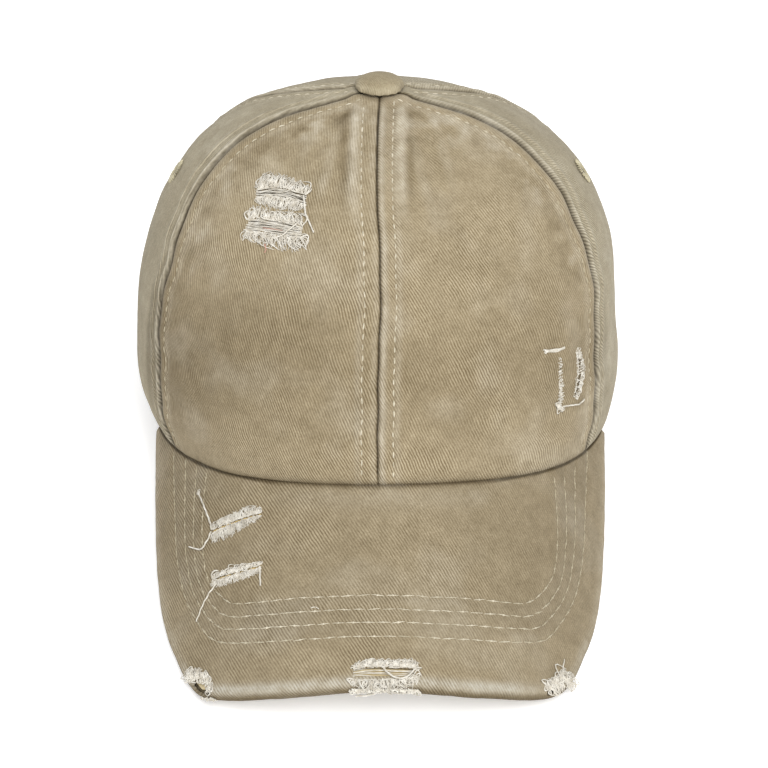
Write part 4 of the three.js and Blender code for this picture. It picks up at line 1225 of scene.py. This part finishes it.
def wool(place, base, tips, seed, per_mm=4, rise=0.7, radius=0.14):
    """Loose curls of fibre that fill a fringe from its base line almost to its tips."""
    chance = np.random.default_rng(seed)
    count = int(line_length(base) * per_mm)
    at = chance.uniform(0, 1, count)
    start = along_line(base, at)
    middle = start + (along_line(tips, at) - start) * chance.uniform(0, 0.85, (count, 1))
    size = chance.uniform(0.3, 0.9, (count, 1)) * np.linspace(1, 0.55, 9)
    bent = chance.choice([-1, 1], (count, 1)) * chance.uniform(2.5, 5.5, (count, 1)) * np.linspace(0, 1, 9)
    turn = chance.uniform(0, 2 * math.pi, (count, 1)) + bent
    off = rise * chance.uniform(0.15, 1.1, (count, 1)) + 0.25 * np.sin(turn * 1.3)
    places = place(middle[:, :1] + size * np.cos(turn), middle[:, 1:] + 0.8 * size * np.sin(turn), off)
    return [(points, radius * chance.uniform(0.7, 1.2), 0.6) for points in places]


def weft(place, first, last, count, seed, across=False, depth=(-0.5, 0.1), sag=0.22, radius=0.17):
    """Strands left in a hole between its first and its last side, along them or across."""
    chance = np.random.default_rng(seed)
    step = (np.arange(count) + 0.5 + chance.uniform(-0.4, 0.4, count))[:, None] / count + np.zeros((1, 15))
    run = np.linspace(0, 1, 15)[None, :] + np.zeros((count, 1))
    s, t = (step, run) if across else (run, step)
    flat = along_line(first, s) * (1 - t)[..., None] + along_line(last, s) * t[..., None]
    phase = chance.uniform(0, 6, (count, 1))
    wave = sag * chance.uniform(0.2, 1, (count, 1)) * np.sin(3.1 * math.pi * run + phase)
    off = chance.uniform(*depth, (count, 1)) + 0.12 * np.sin(9 * run + phase)
    places = place(flat[..., 0], flat[..., 1] + wave, off)
    return [(points, radius * chance.uniform(0.75, 1.2), 1.0) for points in places]


def free_strand(place, route, radius=0.3, lift=0.45, end=0.75):
    """A loose strand that lies on the cloth along a few points, rounded through them."""
    count = max(14, int(line_length(route) * 3))
    path = along_line(route, np.linspace(0, 1, count))
    for _ in range(5):
        path[1:-1] = (path[:-2] + 2 * path[1:-1] + path[2:]) / 4
    offs = lift + 0.12 * np.sin(np.arange(count) * 0.7)
    return (place(path[:, 0], path[:, 1], offs), radius, end)


# Upper left of the front: two windows one above the other, with a fringe over and under each.
patch = crown_patch(*LEFT_PATCH)
strands = []
windows = [
    (UPPER_WINDOW_TOP, UPPER_WINDOW_FOOT, 7,
     [(-11.5, 11.9), (-10.5, 13.0), (-2.0, 13.4), (4.8, 12.6), (8.8, 11.3)],
     [(-8.7, 2.1), (-3.6, 1.4), (4.6, 1.4), (8.8, 3.1)]),
    (LOWER_WINDOW_TOP, LOWER_WINDOW_FOOT, 11,
     [(-10.4, 0.2), (-6.0, 1.6), (-0.4, 0.9), (8.1, 1.3)],
     [(-8.9, -12.3), (-4.5, -12.2), (0.8, -12.7), (7.3, -12.8), (12.6, -10.4)]),
]
for number, (window_top, window_foot, count, tips_above, tips_below) in enumerate(windows):
    seed = 100 + 10 * number
    strands += weft(patch, window_top, window_foot, count, seed, radius=0.2)
    strands += weft(patch, window_top, window_foot, count + 3, seed + 1, depth=(-1.6, -0.8), radius=0.2)
    strands += fringe(patch, window_top, tips_above, seed + 2)
    strands += wool(patch, window_top, tips_above, seed + 3)
    strands += fringe(patch, window_foot, tips_below, seed + 4)
    strands += wool(patch, window_foot, tips_below, seed + 5)
strands.append(free_strand(patch, [(8.1, 7.5), (9.2, 4.6), (10, 1.5), (11.5, -0.8), (13.7, -4.8)]))
strands.append(free_strand(patch, [
    (7.8, -2.7), (5.9, -4.9), (4.1, -7.5), (1.7, -9.1), (-1.3, -9.4), (-2.3, -8.1), (-1.5, -7.2)], lift=0.8))
fray_left = strand_piece("frayed_yarn_front_left", strands)
# A stray end of rust coloured yarn hangs from the lower window.
rust_finish = yarn_finish("rust coloured cotton yarn", "#A06C58", "#CBA798", 600, roughness=0.85)
rust_ends = strand_piece("rust_yarn_front_left", [
    free_strand(patch, [(-0.9, -11.8), (-0.4, -13.1), (0.0, -13.9), (-0.3, -15)], radius=0.24, lift=0.5),
    free_strand(patch, [(-3.2, -6.1), (0.4, -5.7), (3.6, -5.6)], radius=0.15, lift=0.35)], rust_finish)

# Lower right of the front: two upright slits bridged by short fuzz, a small bar at the top and a loose
# strand.
patch = crown_patch(*RIGHT_PATCH)
strands = weft(patch, shifted(INNER_SLIT_LEFT, -0.6, 0), shifted(INNER_SLIT_RIGHT, 0.6, 0), 26, 130,
               across=True, depth=(-0.3, 0.1), radius=0.13)
for lip, inward, seed in ((INNER_SLIT_LEFT, 1.2, 131), (INNER_SLIT_RIGHT, -1.2, 132)):
    strands += fringe(patch, lip, shifted(lip, inward, 0.2), seed, per_mm=1.6, rise=0.3, radius=0.13)
strands += wool(patch, shifted(INNER_SLIT_RIGHT, 0.3, 0), shifted(INNER_SLIT_RIGHT, -1.4, 0), 133,
                per_mm=1, rise=0.3)
strands += fringe(patch, [(-2.2, -7.9), (0.2, -10.4)], [(-1.2, -10.4), (2.2, -12.2)], 134, per_mm=8)
strands += wool(patch, [(-1.4, -8.4), (0.2, -10.6)], [(-0.6, -10.4), (2.0, -12)], 135, per_mm=7)
strands += weft(patch, [(-6.8, 12.5), (-3, 11.3), (0.1, 10.6), (3.3, 10.1)],
                [(-6.8, 11.7), (-3, 10.5), (0.1, 9.8), (3.3, 9.5)], 5, 136, depth=(0.1, 0.4), radius=0.2)
strands += wool(patch, [(-7.4, 12.4), (-5.6, 11.8)], [(-7.2, 11.6), (-5.4, 11.2)], 137, rise=0.5)
fray_right_slit = strand_piece("frayed_yarn_front_right_inner", strands)
outer_rim_left = [(10.2, 6.5), (10, 3), (10.4, -2.5), (9, -6.7), (7.5, -9.7)]
outer_rim_right = [(11.5, 7), (14.7, 0.9), (15.1, -4.9), (12.9, -8.6), (9.8, -11.5)]
strands = weft(patch, shifted(OUTER_SLIT_LEFT, -0.8, 0), shifted(OUTER_SLIT_RIGHT, 0.6, 0), 15, 140,
               across=True, depth=(-0.5, 0.1), radius=0.14)
strands += fringe(patch, shifted(OUTER_SLIT_RIGHT, -0.5, 0), outer_rim_right, 141,
                  per_mm=3, rise=0.4, radius=0.14)
strands += fringe(patch, outer_rim_right, shifted(OUTER_SLIT_RIGHT, -0.8, 0), 142,
                  per_mm=1.5, rise=0.4, radius=0.14)
strands += wool(patch, OUTER_SLIT_RIGHT, outer_rim_right, 143, per_mm=1.3, rise=0.4)
strands += fringe(patch, OUTER_SLIT_LEFT, outer_rim_left, 144, per_mm=4, rise=0.4, radius=0.14)
strands.append(free_strand(patch, [(13.5, -12.9), (10.9, -13.5), (6.8, -12), (2.4, -10.4), (-1.3, -10)]))
fray_right_outer = strand_piece("frayed_yarn_front_right_outer", strands)

# Upper slit of the peak: a thin ochre thread between pale lips, and a forked loose strand at its left end.
ochre_finish = yarn_finish("ochre cotton yarn, cut warp", "#A88B4E", "#D2BB82", 600, roughness=0.85)
# The dense, low lip on the lower side of both slits.
LOWER_LIP = {"per_mm": 9, "rise": 0.7, "bow": 0.15, "shortest": 0.6, "radius": 0.18}
middle = [(-59.7, -6.8), (-54.5, -6.2), (-48.4, -5.8), (-42.6, -5.5), (-40.4, -5.5)]
ochre_strands = [free_strand(peak_patch, middle, radius=0.24, lift=-0.25, end=1.0)]
tips_up = [(-59.3, -4.2), (-55.9, -3), (-51.8, -2.7), (-47, -1.3), (-42.7, -2), (-40.1, -3.3)]
tips_down = [(-59.9, -10.8), (-55.6, -11.3), (-51.5, -10.9), (-47.2, -9.1), (-42.9, -8.2), (-40, -6.3)]
strands = fringe(peak_patch, shifted(middle, 0, 0.5), tips_up, 150, per_mm=7, shortest=0.3, radius=0.2)
strands += wool(peak_patch, shifted(middle, 0, 0.8), tips_up, 151)
strands += fringe(peak_patch, shifted(middle, 0, -0.5), tips_down, 152, **LOWER_LIP)
strands += wool(peak_patch, shifted(middle, 0, -0.8), tips_down, 153, per_mm=2, rise=0.6)
strands.append(free_strand(peak_patch, [
    (-59.9, -6.3), (-60.7, -3.4), (-62.7, 1.3), (-64.8, 5.8), (-66.9, 10)]))
strands += wool(peak_patch, [(-67.2, 9.6), (-66.4, 10.2)], [(-66.8, 10.4), (-66.6, 10.6)], 154,
                per_mm=9, rise=0.6)
strands.append(free_strand(peak_patch, [
    (-60.1, -7), (-61.7, -9.8), (-64.3, -12.4), (-67.2, -11.1), (-70.3, -9.3)]))
fray_slit_upper = strand_piece("frayed_yarn_peak_slit_upper", strands)

# Lower slit of the peak: the same, with a curl and a long strand at its left and a short one at its right.
middle = [(-59.3, -25.3), (-55, -25), (-49.4, -25), (-44, -24.8), (-39.9, -24.6)]
ochre_strands.append(free_strand(peak_patch, middle, radius=0.24, lift=-0.25, end=1.0))
tips_up = [(-57.6, -23.2), (-52.7, -22.7), (-47.9, -22.5), (-43.3, -22.8), (-39.6, -22.9)]
tips_down = [(-59.6, -27.4), (-54.9, -28.3), (-49.3, -28.3), (-43.9, -27.7), (-39.8, -26.8)]
strands = fringe(peak_patch, shifted(middle, 0, 0.5), tips_up, 160, per_mm=7, rise=0.8, radius=0.2)
strands += wool(peak_patch, shifted(middle, 0, 0.7), tips_up, 161, per_mm=2, rise=0.6)
strands += fringe(peak_patch, shifted(middle, 0, -0.5), tips_down, 162, **LOWER_LIP)
strands += wool(peak_patch, shifted(middle, 0, -0.8), tips_down, 163, per_mm=2, rise=0.6)
for route in ([(-56.4, -22.5), (-58.5, -21.9), (-59.4, -23.1), (-58.4, -24.8), (-55.8, -26.3)],
              [(-57, -27), (-59.9, -29.5), (-62.8, -33.3), (-64.5, -36.8), (-65.3, -38.3)],
              [(-40.2, -24.9), (-40, -27.9), (-39.7, -31.9)]):
    strands.append(free_strand(peak_patch, route))
strands.append(free_strand(peak_patch, [(-22.1, -42.4), (-20.8, -42.2), (-19.5, -43)], radius=0.26, lift=0.2))
fray_slit_lower = strand_piece("frayed_yarn_peak_slit_lower", strands)
ochre_threads = strand_piece("ochre_yarn_peak_slits", ochre_strands, ochre_finish)


def edge_patch(x, y, off):
    """Places a point on the peak's front edge: across, up its thickness and out from it."""
    x = np.asarray(x, float)
    turn = np.degrees(np.arctan2(x, PLAN_CENTRE + PEAK_LENGTH))
    edge = edge_radius(turn.ravel()).reshape(turn.shape)
    return in_frame(plan_point(turn, edge + off, np.asarray(y, float)))


# Edge tears: the upper cloth is worn through over the board. In the middle a narrow band of board shows with
# a few strands along it, between a woolly fringe above and a bulky one on the edge itself.
tips_up = [(-8.7, -64.1), (-7.1, -61.8), (-3, -61.2), (1.7, -61.4),
           (6.5, -61.5), (10.3, -60.9), (13.1, -62.9)]
band_top = [(-8.6, -64.9), (-4.6, -63.8), (1.7, -63.9), (8, -63.8), (11.6, -64.2)]
band_foot = [(-9.0, -67.3), (-4.6, -67.9), (1.7, -67.9), (8, -67.7), (11.8, -66.3)]
tips_down = [(-9.4, -69.6), (-6.8, -71.4), (-2.4, -71.6), (1.7, -71.6),
             (6.4, -71.4), (10.5, -70.9), (13.4, -67.2)]
strands = fringe(peak_patch, band_top, tips_up, 170, per_mm=7)
strands += wool(peak_patch, band_top, tips_up, 171, per_mm=5, rise=0.9)
strands += weft(peak_patch, band_top, band_foot, 6, 172, depth=(-0.7, -0.3), radius=0.18)
strands += fringe(peak_patch, shifted(band_foot, 0, -0.5), tips_down, 173, per_mm=5, rise=1.1, bow=0.5)
strands += wool(peak_patch, shifted(band_foot, 0, -1), tips_down, 174, per_mm=3)
strands += fringe(edge_patch, [(-9.4, -0.4), (12.6, -0.4)], [(-9.8, -3.6), (13, -3.6)], 175, per_mm=5)
strands += wool(edge_patch, [(-9.6, -0.4), (12.8, -0.4)], [(-9.6, -3.6), (12.8, -3.6)], 176,
                per_mm=4, radius=0.18)
strands.append(free_strand(peak_patch, [
    (0.8, -64), (2, -65.7), (3.9, -67.4), (6.4, -68.2),
    (9, -67.2), (10.6, -65.1), (11.8, -63.9), (13.1, -64.3)], radius=0.34, lift=0.7))
strands.append(free_strand(edge_patch, [
    (-1.4, 0.2), (-0.6, -0.9), (-1.4, -2.6), (-3.6, -3.9), (-5.8, -4.3), (-8, -4.2)], radius=0.34, lift=0.8))
fray_edge_middle = strand_piece("frayed_yarn_edge_middle", strands)

outline = [(-70.1, -54.6), (-66.8, -54.4), (-63.5, -55.2), (-60.4, -56.8), (-58.1, -59.6), (-57.1, -63.8)]
inner = [(-68.6, -57.6), (-65.8, -57.9), (-63.5, -58.5), (-61.6, -59.2), (-59.4, -61.2), (-58.8, -64.4)]
strands = fringe(peak_patch, inner, outline, 180, per_mm=8, rise=1.0, bow=0.5)
strands += wool(peak_patch, inner, outline, 181, per_mm=5, rise=0.9)
strands += fringe(peak_patch, inner, shifted(inner, -0.8, -1.6), 182, per_mm=3, rise=0.5, bow=0.5)
strands += wool(edge_patch, [(-66, -0.6), (-59, -0.6)], [(-66, -2.4), (-59, -2.4)], 183,
                per_mm=5, radius=0.18)
fray_edge_left = strand_piece("frayed_yarn_edge_left", strands)
outline = [(56, -62.7), (60.3, -59.1), (66.3, -55.4), (70.2, -56.8)]
inner = [(57.6, -64.6), (61.4, -62), (65, -59.6), (68.2, -59.4)]
strands = fringe(peak_patch, inner, outline, 184, per_mm=8, rise=1.0, bow=0.5)
strands += wool(peak_patch, inner, outline, 185, per_mm=6, rise=0.9)
strands += fringe(peak_patch, inner, shifted(inner, 1.2, -3), 186, per_mm=4, rise=0.6, bow=0.5)
strands.append(free_strand(peak_patch, [(64, -57), (64.6, -54.5), (65.2, -52)], radius=0.2))
fray_edge_right = strand_piece("frayed_yarn_edge_right", strands)

# The size that each sheet of cloth is cut to is that of its flat map, which is worked out before the sheet
# has its form. It isn't measured on the mesh. It is worked out here and not kept.
def flat_pattern(piece, drawn):
    """The sides and the area of a sheet's flat pattern. Both faces of the sheet have the same flat map."""
    mesh = piece.data
    flat = np.empty(len(mesh.loops) * 2)
    mesh.uv_layers["cloth"].data.foreach_get("uv", flat)
    flat = flat.reshape(-1, 2) * drawn * MM
    starts = np.empty(len(mesh.polygons), int)
    mesh.polygons.foreach_get("loop_start", starts)
    following = np.arange(1, len(flat) + 1)
    following[np.append(starts[1:], len(flat)) - 1] = starts
    cross = flat[:, 0] * flat[following, 1] - flat[following, 0] * flat[:, 1]
    both_faces = np.abs(np.add.reduceat(cross, starts)).sum() / 2
    width, length = flat.max(axis=0) - flat.min(axis=0)
    return (float(width), float(length)), float(both_faces / 2)


def declare_cloth(piece, drawn=1):
    flat, area = flat_pattern(piece, drawn)


# The sheet that each panel rests on, and its own thread and yarn.
PANEL_PIECES = {
    "panel_front_left": ("panel_side_left", [panel_stitches["stitches_centre_front"], fray_left, rust_ends]),
    "panel_front_right": ("panel_side_right", [fray_right_slit, fray_right_outer]),
    "panel_side_left": ("panel_back_left", [
        panel_stitches["stitches_front_left"], panel_stitches["stitches_back_left"]]),
    "panel_side_right": ("panel_back_right", [
        panel_stitches["stitches_front_right"], panel_stitches["stitches_back_right"]]),
    "panel_back_left": ("panel_back_right", [centre_back_row]),
    "panel_back_right": ("panel_side_right", []),
}
for node, (beside_it, own_pieces) in PANEL_PIECES.items():
    panel, drawn = panels[node]
    declare_cloth(panel, drawn)
declare_cloth(peak_cloth)
declare_cloth(under_cloth)
declare_cloth(band)
declare_cloth(binding)
declare_cloth(strap)

# Studio: a plain white floor that glows a little, so that it stays white under the cap, a large soft light
# from above the front, a weak one behind, and an even white surround. The camera looks down as the
# photograph does.
FLOOR_SIZE = 6
FLOOR_DEPTH = 0.0004
FLOOR_GLOW = 0.3
SURROUND_STRENGTH = 0.4
LIT_MIDDLE = Vector((0, -0.02, 0.06))
# Each light's place in metres, its width in metres and its power in watts.
SOFT_LIGHTS = {
    "key softbox": ((0.24, -1.05, 1.42), 1.3, 37),
    "back softbox": ((-0.5, 1.1, 0.95), 1.2, 4),
}
bpy.ops.object.select_all(action="DESELECT")
bpy.ops.mesh.primitive_plane_add(size=FLOOR_SIZE, location=(0, 0, -FLOOR_DEPTH))
floor = bpy.context.object
floor.name = "studio_floor"
floor_finish, tree, paper = new_finish("matt white studio paper", roughness=1.0, specular=0.0)
paper.inputs["Base Color"].default_value = linear("#FCFCFC")
paper.inputs["Emission Color"].default_value = (1, 1, 1, 1)
paper.inputs["Emission Strength"].default_value = FLOOR_GLOW
floor.data.materials.append(floor_finish)

world = bpy.data.worlds.new("white surround")
world.use_nodes = True
world.node_tree.nodes["Background"].inputs["Color"].default_value = (1, 1, 1, 1)
world.node_tree.nodes["Background"].inputs["Strength"].default_value = SURROUND_STRENGTH
bpy.context.scene.world = world

for name, (place, size, power) in SOFT_LIGHTS.items():
    lamp = bpy.data.lights.new(name, "AREA")
    lamp.shape = "DISK"
    lamp.size = size
    lamp.energy = power
    light = bpy.data.objects.new(name, lamp)
    bpy.context.scene.collection.objects.link(light)
    light.location = place
    light.rotation_euler = (LIT_MIDDLE - light.location).to_track_quat("-Z", "Y").to_euler()

CAMERA_RISE = math.radians(30)
CAMERA_TURN = math.radians(-0.194)
CAMERA_DISTANCE = 850
TARGET = np.array([1.198, 0, 4.773])
away = np.array([math.sin(CAMERA_TURN) * math.cos(CAMERA_RISE),
                 -math.cos(CAMERA_TURN) * math.cos(CAMERA_RISE), math.sin(CAMERA_RISE)])
camera = bpy.data.objects.new("camera", bpy.data.cameras.new("camera"))
camera.data.lens = 108.48
camera.data.sensor_width = 36
camera.data.clip_start = 0.01
camera.location = in_frame(TARGET + CAMERA_DISTANCE * away)
aim = Vector(in_frame(TARGET)) - camera.location
camera.rotation_euler = aim.to_track_quat("-Z", "Y").to_euler()
bpy.context.scene.collection.objects.link(camera)
bpy.context.scene.camera = camera
bpy.context.scene.view_settings.view_transform = "Standard"
